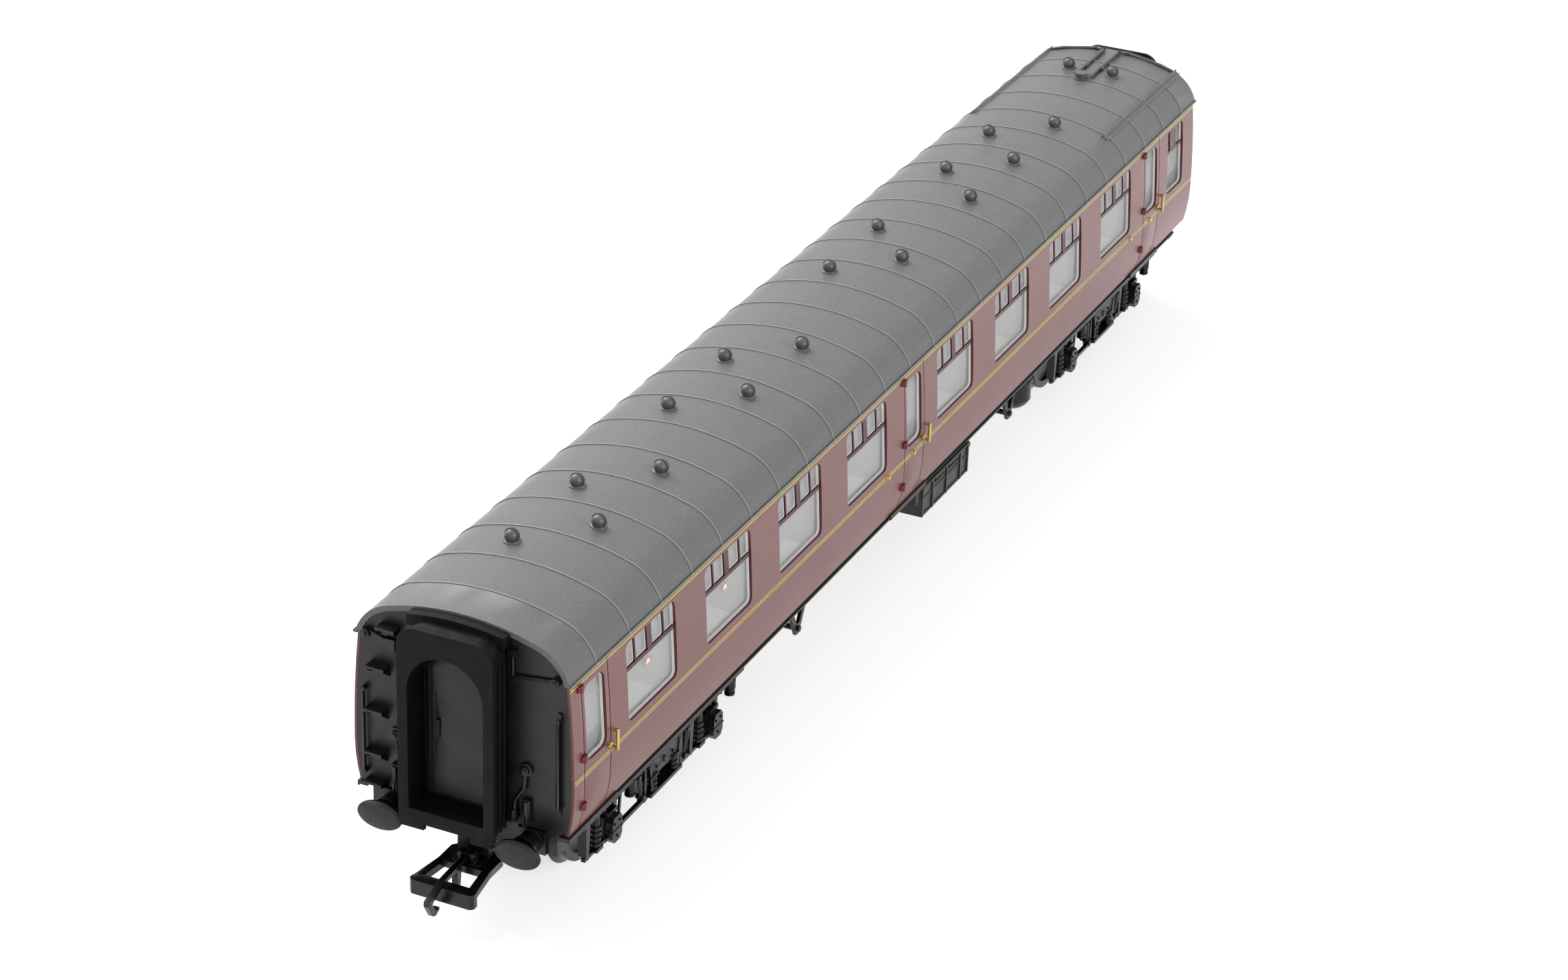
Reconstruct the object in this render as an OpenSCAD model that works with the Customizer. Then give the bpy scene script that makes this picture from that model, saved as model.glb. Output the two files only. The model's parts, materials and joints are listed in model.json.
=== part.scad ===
// Model railway passenger coach, 00 gauge, scale 1:76, standing on its own wheels.
// Millimetres. X runs along the coach, Y across it, Z up from the wheel flanges.
// End "a" is at -X, end "b" at +X; "left" is the -Y side, "right" the +Y side.

/* [Body] */
// Length of the body shell over its two end walls
body_length = 258; // [200:0.5:320]
// Half width of the body at its widest level
half_width = 18; // [14:0.1:22]
// Height of the side walls from their bottom edge to the eaves
side_height = 24.7; // [20:0.1:30]
// Height of the widest level above the side's bottom edge
waist_rise = 7; // [5:0.1:9]
// Radius of the turned-under lower part of the side
lower_radius = 28.8; // [24:0.1:40]
// Radius of the nearly flat upper part of the side
upper_radius = 166; // [120:1:220]
// Thickness of the side walls and the roof
wall = 0.9; // [0.7:0.05:1.4]
// Thickness of the end walls
end_wall = 1.6; // [1.2:0.1:2.4]

/* [Roof] */
// Radius of the middle of the roof
roof_radius = 40; // [34:0.5:50]
// Radius of the roof where it turns down to the eaves
cant_radius = 7.86; // [6.5:0.1:9.5]
// Number of transverse roof ribs
rib_count = 25; // [15:1:31]
// Width of one roof rib
rib_width = 0.34; // [0.2:0.02:0.6]
// Height of a roof rib above the roof skin
rib_height = 0.14; // [0.08:0.01:0.25]

/* [Windows and doors] */
// Width of a saloon window
window_width = 15.7; // [12:0.1:19]
// Height of the window openings
window_height = 12.67; // [10:0.05:15.5]
// Height of the window sills above the side's bottom edge
sill_rise = 10.45; // [9:0.05:11]
// Corner radius of the windows
window_corner = 1.1; // [0.6:0.05:1.6]
// Width of a side door
door_width = 8.05; // [6.6:0.05:9.7]
// Width of the lavatory window
lavatory_width = 8.49; // [7:0.05:10.2]
// Depth of the glazing behind the outer skin
reveal = 0.62; // [0.4:0.02:0.74]
// Width of the cut lines round the doors
seam_width = 0.18; // [0.1:0.01:0.3]
// Depth of the cut lines round the doors
seam_depth = 0.14; // [0.08:0.01:0.25]

/* [Gangway] */
// Half width of the gangway faceplate
gangway_half = 7.8; // [6.8:0.05:9.4]
// Half width of the gangway doorway
doorway_half = 6.1; // [5.1:0.05:6.5]
// Distance of the faceplate beyond the end wall
gangway_reach = 5.2; // [4.4:0.05:6.3]
// Thickness of the faceplate
faceplate = 0.8; // [0.6:0.05:1.2]

/* [Buffers and couplings] */
// Half spacing of the buffers
buffer_half = 11.28; // [9.6:0.02:13.2]
// Width of the oval buffer head
buffer_width = 7.4; // [6.2:0.1:8.9]
// Height of the oval buffer head
buffer_height = 4.6; // [3.8:0.1:5.6]
// Distance of the buffer heads beyond the end wall
buffer_reach = 5; // [4.2:0.05:6]
// Half width of the coupling's front bar
bar_half = 5.3; // [4.5:0.1:6.4]
// Height of the coupling's front bar
bar_height = 2.4; // [2:0.1:2.9]
// Distance from the coupling's pivot to the front of its bar
coupling_length = 12.1; // [11.5:0.1:14.6]
// Radius of the coupling's pivot pin
coupling_pin = 1; // [0.8:0.05:1.2]

/* [Bogies] */
// Distance of the bogie pivots from the middle of the coach
pivot_offset = 93; // [84:0.5:96]
// Distance between the two axles of a bogie
wheelbase = 34; // [30:0.25:36]
// Radius of the bogie's pivot pin
pivot_pin = 1.5; // [1.2:0.05:1.8]
// Half spacing of the inner faces of the bogie side frames
frame_inner = 11.9; // [11.4:0.05:12.6]

/* [Wheels] */
// Radius of the wheel tread at its middle
tread_radius = 7.05; // [6:0.05:8.5]
// Depth of the wheel flange
flange_depth = 0.9; // [0.7:0.05:1.1]
// Half of the distance between the backs of the wheels
wheel_back = 7.2; // [6.9:0.05:7.4]
// Width of a wheel over its flange and tread
wheel_width = 2.8; // [2.3:0.05:3.2]
// Radius of the axle
axle_radius = 1; // [0.8:0.05:1.2]
// Radius of the bearing pins on the axle ends
journal_radius = 0.8; // [0.65:0.05:0.95]

/* [Clearances] */
// Radial running clearance of pins and axles in their holes
running = 0.05; // [0.02:0.01:0.09]
// Room between the wheel flanges and the floor above them
wheel_room = 0.8; // [0.6:0.1:1.4]

/* [Hidden] */
$fn = 64;
eps = 0.01;

flange_radius = tread_radius + flange_depth;
axle_z = flange_radius;
body_z = 2 * flange_radius + wheel_room;
waist_z = body_z + waist_rise;
eaves_z = body_z + side_height;
half_length = body_length / 2;
pan_z = body_z + 0.2;
floor_z = pan_z + 1;

// The side's arcs meet at the widest level with a common upright tangent.
function side_y(z, d = 0) = z < waist_z
    ? half_width - lower_radius + sqrt(pow(lower_radius - d, 2) - pow(waist_z - z, 2))
    : half_width - upper_radius + sqrt(pow(upper_radius - d, 2) - pow(z - waist_z, 2));

// The roof's middle and cant arcs are tangent; the cant arc ends just outside the side.
eaves_y = side_y(eaves_z) + 0.36;
cant_z = eaves_z - 1.92;
cant_y = eaves_y - sqrt(pow(cant_radius, 2) - pow(1.92, 2));
crown_z = roof_radius - sqrt(pow(roof_radius - cant_radius, 2) - pow(cant_y, 2)) + cant_z;
roof_centre_z = crown_z - roof_radius;
cant_angle = atan2(cant_y, cant_z - roof_centre_z);

// Doors and windows follow one another at a pitch set by the body's length.
door_period = body_length * 0.44109;
door_start = -half_length + 3.15;
bay_pitch = door_period * 0.22557;
bay_start = door_period * 0.12012 + 7.85;
sill_z = body_z + sill_rise;
head_z = sill_z + window_height;
transom_z = sill_z + window_height * 0.655;
function door_x(i) = door_start + i * door_period;
function bay_x(i, k) = door_x(i) + bay_start + k * bay_pitch;
lavatory_x = half_length - 14.44;

bogie_top = axle_z + 4.65;
bolster_top = axle_z + 4.95;
half_base = wheelbase / 2;
frame_outer = frame_inner + 1.1;
end_x = half_base + flange_radius + 0.5;

buffer_z = body_z - 2;
coupling_z = axle_z - 2.05;
coupling_x = half_length - 5.1;
hook_x = coupling_x + 3.9;
hook_z = coupling_z + 2.2;
bar_x = coupling_x + coupling_length;
gangway_x = half_length + gangway_reach;

// ---- drawing helpers ----
module block(x0, x1, y0, y1, z0, z1) {
    translate([x0, y0, z0]) cube([x1 - x0, y1 - y0, z1 - z0]);
}

// A section drawn in Y and Z, drawn out along X.
module along_x(x0, x1) {
    translate([x0, 0, 0]) rotate([90, 0, 90]) linear_extrude(height = x1 - x0) children();
}

// A section drawn in X and Z, drawn out along Y.
module along_y(y0, y1) {
    translate([0, y1, 0]) rotate([90, 0, 0]) linear_extrude(height = y1 - y0) children();
}

module rod_x(x0, x1, r) {
    translate([x0, 0, 0]) rotate([0, 90, 0]) cylinder(h = x1 - x0, r = r);
}

module rod_y(y0, y1, r) {
    translate([0, y0, 0]) rotate([-90, 0, 0]) cylinder(h = y1 - y0, r = r);
}

// A straight round bar from p to q.
module rod(p, q, r) {
    d = q - p;
    l = norm(d);
    translate(p)
        rotate([0, acos(d[2] / l), atan2(d[1], d[0])])
            cylinder(h = l, r = r);
}

function unit(v) = v / norm(v);

// The room beyond a plane through p, on the side that n points to.
module beyond(p, n) {
    translate(p)
        rotate([0, acos(n[2]), atan2(n[1], n[0])])
            translate([-2, -2, 0]) cube([4, 4, 4]);
}

// A slender bar through a list of points, twelve-sided and mitred at each turn.
module bent_rod(pts, r) {
    m = len(pts) - 2;
    for (i = [0:m]) {
        d = unit(pts[i + 1] - pts[i]);
        difference() {
            rod(pts[i] - d * (i > 0 ? 2 * r : 0), pts[i + 1] + d * (i < m ? 2 * r : 0), r, $fn = 12);
            if (i > 0) beyond(pts[i], -unit(unit(pts[i] - pts[i - 1]) + d));
            if (i < m) beyond(pts[i + 1], unit(unit(pts[i + 2] - pts[i + 1]) + d));
        }
    }
}

module both_sides() {
    children();
    mirror([0, 1, 0]) children();
}

// The coach turned half round, for what each end or side has in the same place.
module both_ends() {
    children();
    rotate([0, 0, 180]) children();
}

module quarter(r) {
    intersection() {
        circle(r = r);
        square(r * 2);
    }
}

module rounded(x0, x1, y0, y1, r) {
    translate([x0 + r, y0]) square([x1 - x0 - 2 * r, y1 - y0]);
    translate([x0, y0 + r]) square([r, y1 - y0 - 2 * r]);
    translate([x1 - r, y0 + r]) square([r, y1 - y0 - 2 * r]);
    translate([x1 - r, y1 - r]) quarter(r);
    translate([x0 + r, y1 - r]) rotate(90) quarter(r);
    translate([x0 + r, y0 + r]) rotate(180) quarter(r);
    translate([x1 - r, y0 + r]) rotate(270) quarter(r);
}

// ---- sections of the shell ----
// One side between depths d0 and d1 behind the outer skin, from z0 to z1.
module side_section(d0, d1, z0, z1) {
    if (z0 < waist_z)
        intersection() {
            translate([half_width - lower_radius, waist_z])
                difference() {
                    circle(r = lower_radius - d0);
                    circle(r = lower_radius - d1);
                }
            translate([3, z0]) square([30, min(z1, waist_z) - z0]);
        }
    if (z1 > waist_z)
        intersection() {
            translate([half_width - upper_radius, waist_z])
                difference() {
                    circle(r = upper_radius - d0);
                    circle(r = upper_radius - d1);
                }
            translate([3, max(z0, waist_z)]) square([30, z1 - max(z0, waist_z)]);
        }
}

// The space inside depth d between z0 and z1, below the eaves.
module hall_section(d, z0, z1) {
    if (z0 < waist_z)
        intersection() {
            translate([half_width - lower_radius, waist_z]) circle(r = lower_radius - d);
            translate([lower_radius - half_width, waist_z]) circle(r = lower_radius - d);
            translate([-30, z0]) square([60, min(z1, waist_z) - z0]);
        }
    if (z1 > waist_z)
        intersection() {
            translate([half_width - upper_radius, waist_z]) circle(r = upper_radius - d);
            translate([upper_radius - half_width, waist_z]) circle(r = upper_radius - d);
            translate([-30, max(z0, waist_z)]) square([60, z1 - max(z0, waist_z)]);
        }
}

// Everything under the roof's arcs at depth d below its skin, down to level z0.
module roof_fill(d, z0) {
    edge = (roof_radius - d) * sin(cant_angle) - 0.4;
    intersection() {
        union() {
            intersection() {
                translate([0, roof_centre_z]) circle(r = roof_radius - d);
                translate([-edge, z0 - 1]) square([2 * edge, 30]);
            }
            for (s = [-1, 1])
                translate([s * cant_y, cant_z]) circle(r = cant_radius - d);
        }
        translate([-30, z0]) square([60, 40]);
    }
}

// The roof between depths d0 and d1 below its skin; d1 = 0 fills it down to the eaves.
module roof_section(d0, d1) {
    difference() {
        roof_fill(d0, eaves_z);
        if (d1 > 0) roof_fill(d1, eaves_z - 0.5);
    }
}

// ---- sides ----
module side_windows(grow = 0) {
    for (i = [0, 1], k = [0:3])
        translate([bay_x(i, k), 0])
            rounded(-window_width / 2 - grow, window_width / 2 + grow, sill_z - grow, head_z + grow,
                window_corner + grow);
    translate([lavatory_x, 0])
        rounded(-grow, lavatory_width + grow, sill_z - grow, head_z + grow, window_corner + grow);
}

module door_windows(grow = 0) {
    for (i = [0:2])
        translate([door_x(i) + 0.75, 0])
            rounded(-grow, door_width - 1.9 + grow, sill_z + 0.2 - grow, head_z - 0.35 + grow,
                window_corner + 0.3 + grow);
}

module side_panel() {
    color("#5b1f22")
    difference() {
        union() {
            along_x(-half_length, half_length) side_section(0, wall / 2, body_z, eaves_z);
            along_x(-half_length + end_wall, half_length - end_wall)
                side_section(wall / 2 - eps, wall, body_z, eaves_z);
        }
        along_y(5, 30) {
            side_windows();
            door_windows();
        }
        for (i = [0:2], e = [0, door_width])
            along_x(door_x(i) + e - seam_width / 2, door_x(i) + e + seam_width / 2)
                side_section(-0.3, seam_depth, body_z - 1, eaves_z - 0.9);
    }
}

module side_left() {
    mirror([0, 1, 0]) side_panel();
}

module side_right() {
    side_panel();
}

module glazing() {
    color([0.85, 0.9, 0.9, 0.4]) both_sides() {
        along_x(-half_length + end_wall + 0.4, half_length - end_wall - 0.4)
            side_section(wall, wall + 0.4, sill_z - 1.2, eaves_z - 0.5);
        intersection() {
            along_x(-half_length + 2, half_length - 2)
                side_section(reveal, wall + 0.2, sill_z - 0.5, head_z + 0.5);
            along_y(5, 30) {
                side_windows(-0.02);
                door_windows(-0.02);
            }
        }
    }
}

// Bars of the sliding ventilators, standing on the glazing inside each opening.
module bar_set(x, w, uprights) {
    along_x(x - w / 2, x + w / 2) side_section(0.26, reveal, transom_z - 0.3, transom_z + 0.3);
    for (u = uprights)
        along_x(x + u[0] - u[1] / 2, x + u[0] + u[1] / 2)
            side_section(0.3, reveal, transom_z, head_z);
}

module window_bars() {
    color("#4a171b") both_sides() {
        for (i = [0, 1], k = [0:3])
            bar_set(bay_x(i, k), window_width,
                [[-window_width * 0.29, 0.36], [0, 1.5], [window_width * 0.29, 0.36]]);
        bar_set(lavatory_x + lavatory_width / 2, lavatory_width, [[-0.6, 3.2]]);
    }
}

module hinge(x, z) {
    y = side_y(z);
    translate([x, y - 0.15, z]) {
        translate([-0.75, 0, -0.45]) cube([1.5, 0.5, 0.9]);
        translate([0, 0.5, -0.6]) cylinder(h = 1.2, r = 0.34);
    }
}

module door_hinges() {
    color("#4a171b") both_sides()
        for (i = [0:2], z = [4.1, 12, 23.2])
            hinge(door_x(i) - 0.35, body_z + z);
}

// A brass grab handle, a lever handle and two stops on the waist line.
module handle_set(x) {
    zb = body_z + 9.1;
    y = side_y(zb + 1.4);
    translate([x + door_width + 0.75, y, 0]) {
        translate([0, -0.15, zb]) rod_y(0, 1.0, 0.26);
        translate([0, -0.15, zb + 2.9]) rod_y(0, 1.0, 0.26);
        translate([0, 0.72, zb - 0.3]) cylinder(h = 3.5, r = 0.27);
    }
    translate([x + door_width - 0.75, side_y(zb + 1.3) - 0.15, zb + 1.3]) {
        rod_y(0, 0.65, 0.36);
        translate([-0.9, 0.35, -0.16]) cube([1.4, 0.36, 0.32]);
    }
}

module door_stop(x) {
    z = body_z + 8.8;
    translate([x, side_y(z) - 0.2, z]) {
        rod_y(0, 0.55, 0.42);
        translate([-0.75, 0.1, -0.22]) cube([1.5, 0.3, 0.44]);
    }
}

module door_handles() {
    color("#c6a850") both_sides() {
        for (i = [0:2]) handle_set(door_x(i));
        for (i = [1, 2], d = [-6.8, 3.8]) door_stop(door_x(i) + d);
    }
}

// ---- roof ----
// A raised channel that leads the rain to end b.
module rain_channel() {
    along_x(half_length * 0.695, half_length + 0.3)
        for (s = [-1, 1])
            translate([13.1, roof_z(13.1)]) rotate(-39) translate([s * 0.48, 0]) {
                translate([-0.17, -0.4]) square([0.34, 0.85]);
                translate([s < 0 ? -0.17 : -0.8, -0.4]) square([0.97, 0.6]);
            }
}

module roof() {
    color("#7c7e7f") difference() {
        union() {
            along_x(-half_length - 0.3, half_length + 0.3) roof_section(0, wall);
            for (i = [0:rib_count - 1]) {
                x = (i - (rib_count - 1) / 2) * (body_length * 0.9414) / (rib_count - 1);
                along_x(x - rib_width / 2, x + rib_width / 2) roof_section(-rib_height, wall / 2);
            }
            both_sides() {
                block(-half_length - 0.45, half_length + 0.45, eaves_y - 0.5, eaves_y + 0.22,
                    eaves_z, eaves_z + 0.42);
                rain_channel();
            }
        }
        both_sides()
            block(-half_length - 1, half_length + 1, eaves_y - 0.02, eaves_y + 0.08,
                eaves_z + 0.22, eaves_z + 1);
    }
}

function roof_z(y) = abs(y) < roof_radius * sin(cant_angle)
    ? roof_centre_z + sqrt(pow(roof_radius, 2) - y * y)
    : cant_z + sqrt(pow(cant_radius, 2) - pow(abs(y) - cant_y, 2));
rib_pitch = body_length * 0.9414 / (rib_count - 1);

// A shell ventilator: a saddle, a short drum lying along the roof and its two collars.
module vent() {
    difference() {
        union() {
            translate([0, 0, -0.5]) cylinder(h = 1.0, r = 1.3);
            translate([0, 0, 0.95]) rod_x(-1.0, 1.15, 1.02);
            translate([0, 0, 0.95]) rod_x(-1.3, -0.8, 1.25);
            translate([0, 0, 0.95]) rod_x(0.75, 1.15, 1.25);
        }
        translate([0, 0, 0.95]) rod_x(0.2, 3, 0.72);
        translate([0, 0, 0.95]) rod_x(-3, -1.05, 0.62);
    }
}

module roof_vents() {
    color("#6d6f70")
    for (v = [[-10.5, 1], [-9.5, -1], [-8.5, 1], [-7.5, -1], [-5.5, 1], [-4.5, -1], [-3.5, 1],
            [-2.5, -1], [0.5, 1], [1.5, -1], [2.5, 1], [4.5, -1], [5.5, 1], [6.5, -1],
            [7.5, 1], [8.5, -1], [11.5, 1], [11.5, -1]])
        translate([v[0] * rib_pitch, v[1] * 4.4, roof_z(4.4) + 0.05])
            rotate([v[1] * -6, 0, 0]) vent();
}

// The water filler at end b with its two pipes, which run to the end and down over it.
module roof_pipes() {
    x = 11 * rib_pitch;
    z = crown_z + 0.42;
    color("#6d6f70") {
        translate([x, 0, crown_z - 0.5]) cylinder(h = 1.6, r = 1.0);
        translate([x, 0, crown_z + 0.95]) cylinder(h = 0.35, r = 1.2);
        translate([x, 0, crown_z - 0.5]) cylinder(h = 0.75, r = 1.35);
        both_sides() {
            bent_rod([[x, 0, z], [x + 1.5, 1.7, z], [x + 3.2, 1.5, z],
                [half_length - 1.6, 1.6, z], [half_length - 0.7, 3.2, roof_z(3.2) + 0.3],
                [half_length - 0.7, 10, roof_z(10) + 0.3],
                [half_length - 0.7, 12.6, roof_z(12.6) + 0.25]], 0.32);
            block(x + 6, x + 7, 1.1, 2.1, crown_z - 0.3, z + 0.1);
        }
    }
}

// ---- ends ----
module doorway(half, z0, top) {
    translate([-half, z0]) square([2 * half, top - half - z0]);
    translate([0, top - half]) intersection() {
        circle(r = half);
        translate([-half - 1, 0]) square([2 * half + 2, half + 1]);
    }
}

arch_top = eaves_z + 2.2;

module end_wall_plate() {
    color("#202122") difference() {
        union() {
            along_x(-half_length, -half_length + end_wall)
                hall_section(wall / 2, body_z, eaves_z);
            along_x(-half_length, -half_length + end_wall) roof_section(wall, 0);
        }
        along_x(-half_length - 1, 0) doorway(doorway_half, floor_z, arch_top);
    }
}

module end_wall_a() {
    end_wall_plate();
}

module end_wall_b() {
    rotate([0, 0, 180]) end_wall_plate();
}

// The doorway's outline with square shoulders rounded at radius r.
module shoulder_plate(half, z0, top, r) {
    translate([-half, z0]) square([2 * half, top - r - z0]);
    translate([-half + r, top - r]) square([2 * half - 2 * r, r]);
    translate([half - r, top - r]) quarter(r);
    translate([-half + r, top - r]) rotate(90) quarter(r);
}

// Gangway: faceplate with two lugs, ribbed bellows and the hood above it.
module gangway() {
    top = eaves_z + 6.1;
    low = body_z - 1.1;
    x = -gangway_x;
    color("#26272a") difference() {
        union() {
            along_x(x, x + faceplate) {
                shoulder_plate(gangway_half, low, top, 3.2);
                translate([0.3 - gangway_half, low - 0.9]) square([3.5, 1]);
                translate([gangway_half - 4.2, low - 0.9]) square([3.9, 1]);
            }
            along_x(x + faceplate - eps, -half_length)
                shoulder_plate(gangway_half - 1, low + 0.5, top - 0.7, 2.6);
            for (i = [0:2])
                along_x(x + faceplate + 0.75 + i * 1.3, x + faceplate + 1.35 + i * 1.3)
                    shoulder_plate(gangway_half - 0.45, low + 0.3, top - 0.25, 3);
            along_x(x + faceplate + 0.1, -half_length - 0.4) intersection() {
                shoulder_plate(gangway_half - 0.45, low + 0.3, top - 0.25, 3);
                translate([-10, top - 4.4]) square([20, 5]);
            }
            for (h = [[2.1, 0.3, wall - 0.5], [0.35, 0, wall]])
                along_x(-half_length - h[0], -half_length - h[1]) intersection() {
                    roof_section(h[2], wall + 1.3);
                    translate([-7.9, eaves_z + 4.6]) square([15.8, 10]);
                }
        }
        along_x(x - 1, 0) doorway(doorway_half, floor_z, arch_top);
    }
}

module gangway_a() {
    gangway();
}

module gangway_b() {
    rotate([0, 0, 180]) gangway();
}

// The door inside each gangway, closed, with its edge ribs, handle and sill.
module corridor_doors() {
    x = -half_length;
    color("#2c2d30") both_ends() {
        along_x(x + end_wall, x + end_wall + 0.8)
            doorway(doorway_half + 0.8, floor_z, arch_top + 0.8);
        along_x(x, x + end_wall + eps)
            doorway(doorway_half - 0.04, floor_z + 0.04, arch_top - 0.04);
        for (y = [doorway_half - 0.75, doorway_half - 1.35])
            along_x(x - 0.25, x + eps) translate([y, floor_z + 0.04]) square([0.25, 21]);
        translate([x - 0.45, 3.9, body_z + 12.4]) {
            block(0, 0.25, -0.3, 0.3, -1.5, 1.5);
            block(0, 0.5, -0.25, 0.25, 0.9, 1.4);
            block(0, 0.5, -0.25, 0.25, -1.4, -0.9);
        }
        block(x - 0.35, x + eps, 0.1 - doorway_half, doorway_half - 0.1, floor_z + 0.04, floor_z + 0.3);
    }
}

// Five wedge-shaped climbing steps at each end.
module end_steps() {
    x = -half_length;
    color("#1e1f21") both_ends()
        for (s = [[11.6, 26.9, 1.5], [13.4, 20.2, 1.5], [13.8, 13, 1.5], [14, 5.9, 1.5],
                [14.1, 0.8, 0.75]])
            translate([x, s[0], body_z + s[1]]) {
                block(-1.9, 0, -1.55, 1.55, 0, 0.36);
                for (y = [-1.55, 1.2])
                    along_y(y, y + 0.35) polygon([[0, 0], [-1.9, 0], [-1.9, -0.15], [0, -s[2]]]);
                block(-0.3, 0, -1.55, 1.55, -s[2], 0);
            }
}

module end_rail(y, z0, z1) {
    x = -half_length;
    translate([x - 0.75, y, z0]) cylinder(h = z1 - z0, r = 0.27);
    for (z = [z0 + 0.3, z1 - 0.3]) {
        translate([0, y, z]) rod_x(x - 1.0, x, 0.38);
    }
}

module end_handrails() {
    color("#1e1f21") both_ends() {
        end_rail(-15.7, body_z + 4.4, body_z + 19.4);
        end_rail(15.95, body_z + 1.9, body_z + 16.3);
        block(-half_length - 0.35, -half_length, -16, -15.4, body_z + 3.6, body_z + 20.2);
    }
}

// Conduits, lamp brackets, hose fittings and their pipes on each end.
module end_pipes() {
    x = -half_length - 0.3;
    b = body_z;
    color("#1e1f21") both_ends() {
        bent_rod([[x, -8.3, b + 28.2], [x, -8.3, b + 24.4], [x, -15.2, b + 25.2]], 0.26);
        bent_rod([[x, 15.4, b + 25.6], [x, 11.6, b + 24.4], [x, 9.9, b + 21.6],
            [x, 8.6, b + 19.6]], 0.26);
        block(x - 0.5, x + 0.3, 10.6, 12.2, b + 23.6, b + 25.2);
        block(x - 0.45, x + 0.3, -9, -7.6, b + 27.6, b + 28.7);
        for (y = [-15.2, 15.4]) translate([0, y, b + 25.2]) {
            rod_x(x - 0.75, x + 0.3, 0.75);
            rod_x(x - 1.05, x, 0.4);
        }
        for (y = [-10.4, 10.8]) {
            translate([0, y, b + 9.6]) rod_x(x - 0.2, x + 0.3, 1.05);
            translate([0, y, b + 9.6]) rod_x(x - 0.75, x, 0.72);
            translate([0, y, b + 9.6]) rod_x(x - 1.0, x - 0.6, 0.5);
        }
        bent_rod([[x - 0.2, -10.4, b + 9.6], [x - 0.2, -10.2, b + 6.6], [x - 0.2, -8.8, b + 4.4],
            [x - 0.2, -8.6, b + 2.4]], 0.36);
        bent_rod([[x - 0.2, 10.8, b + 9.6], [x - 0.2, 10.6, b + 6.4], [x - 0.2, 9.4, b + 4.2],
            [x - 0.2, 9.2, b + 2.6]], 0.36);
        translate([x - 0.35, -8.6, b + 1]) cylinder(h = 1.8, r = 0.62);
        block(x - 0.45, x + 0.3, -11.2, -9.9, b + 1.6, b + 4.8);
        block(x - 0.45, x + 0.3, 10.2, 11.5, b + 1.4, b + 4.6);
        translate([x - 0.45, -10.55, b + 0.5]) cylinder(h = 4.1, r = 0.42);
        translate([x - 0.45, 10.85, b + 0.3]) cylinder(h = 4.1, r = 0.42);
    }
}

// ---- underframe ----
module truss() {
    along_y(8.6, 9.4) difference() {
        polygon([[-54, pan_z], [-23, body_z - 7.6], [23, body_z - 7.6], [54, pan_z]]);
        polygon([[-50.2, pan_z], [-22.6, body_z - 6.8], [-2, body_z - 6.8], [-2, pan_z]]);
        polygon([[50.2, pan_z], [22.6, body_z - 6.8], [2, body_z - 6.8], [2, pan_z]]);
    }
    for (x = [-23, 23]) block(x - 0.5, x + 0.5, 8.6, 9.4, body_z - 7.2, pan_z);
}

module underframe() {
    l = half_length - end_wall;
    color("#1c1d1f") difference() {
        union() {
            along_x(-l, l) hall_section(wall, pan_z, floor_z);
            both_sides() {
                block(-l + 0.5, l - 0.5, 14.7, 15.8, body_z - 2.5, pan_z + eps);
                block(-l + 0.5, l - 0.5, 14.7, 16.1, body_z - 2.5, body_z - 2.1);
            }
            both_ends() {
                block(-half_length + 0.2, -l + 0.9, -15.2, 15.2, body_z - 3.9, body_z);
                block(-l, -l + 0.9, -15.2, 15.2, body_z - eps, pan_z + eps);
                block(-half_length - 0.5, -half_length + 0.2 + eps, -1.6, 1.6, body_z - 3.4, body_z - 0.9);
                translate([pivot_offset, 0, 0]) {
                    translate([0, 0, bolster_top + 0.3]) cylinder(h = pan_z - bolster_top, r = 3.6);
                    translate([0, 0, axle_z + 0.4]) cylinder(h = 6, r = pivot_pin);
                    translate([0, 0, axle_z - 0.3]) cylinder(h = 0.8, r = pivot_pin + 0.9);
                }
            }
            for (x = [-37.5, -13.5, 13.5, 37.5])
                block(x - 0.6, x + 0.6, -14.8, 14.8, body_z - 1.5, pan_z + eps);
        }
    }
}

module truss_rods() {
    color("#1c1d1f") both_sides() truss();
}

// The buffer head's oval, larger all round by g.
module oval(g) {
    polygon([for (a = [0:7.5:359]) [(buffer_width / 2 + g) * cos(a), (buffer_height / 2 + g) * sin(a)]]);
}

module buffer() {
    x = -half_length;
    translate([0, buffer_half, buffer_z]) {
        block(x - 0.35, x + 0.2, -2.3, 2.3, -1.9, 1.9);
        rod_x(x - 2.6, x, 1.75);
        rod_x(x - 3, x - 2.5, 2.0);
        rod_x(x - buffer_reach + 0.5, x - 2.9, 1.05);
        along_x(x - buffer_reach, x - buffer_reach + 0.3) oval(-0.35);
        along_x(x - buffer_reach + 0.15, x - buffer_reach + 0.45) oval(-0.12);
        along_x(x - buffer_reach + 0.3, x - buffer_reach + 0.75) oval(0);
    }
}

module buffers() {
    color("#232427") both_ends() both_sides() buffer();
}

module footboards() {
    color("#1b1c1e") both_sides()
        for (i = [0:2]) {
            x = door_x(i) + door_width / 2;
            block(x - 7.5, x + 7.5, 15.8, 17.5, body_z - 0.68, body_z - 0.05);
            block(x - 7.5, x + 7.5, 17.2, 17.5, body_z - 0.9, body_z - 0.05);
            for (d = [-5, 5])
                along_x(x + d - 0.35, x + d + 0.35)
                    polygon([[15.8, body_z - 2.1], [17.2, body_z - 0.68], [15.8, body_z - 0.68]]);
        }
}

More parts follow.
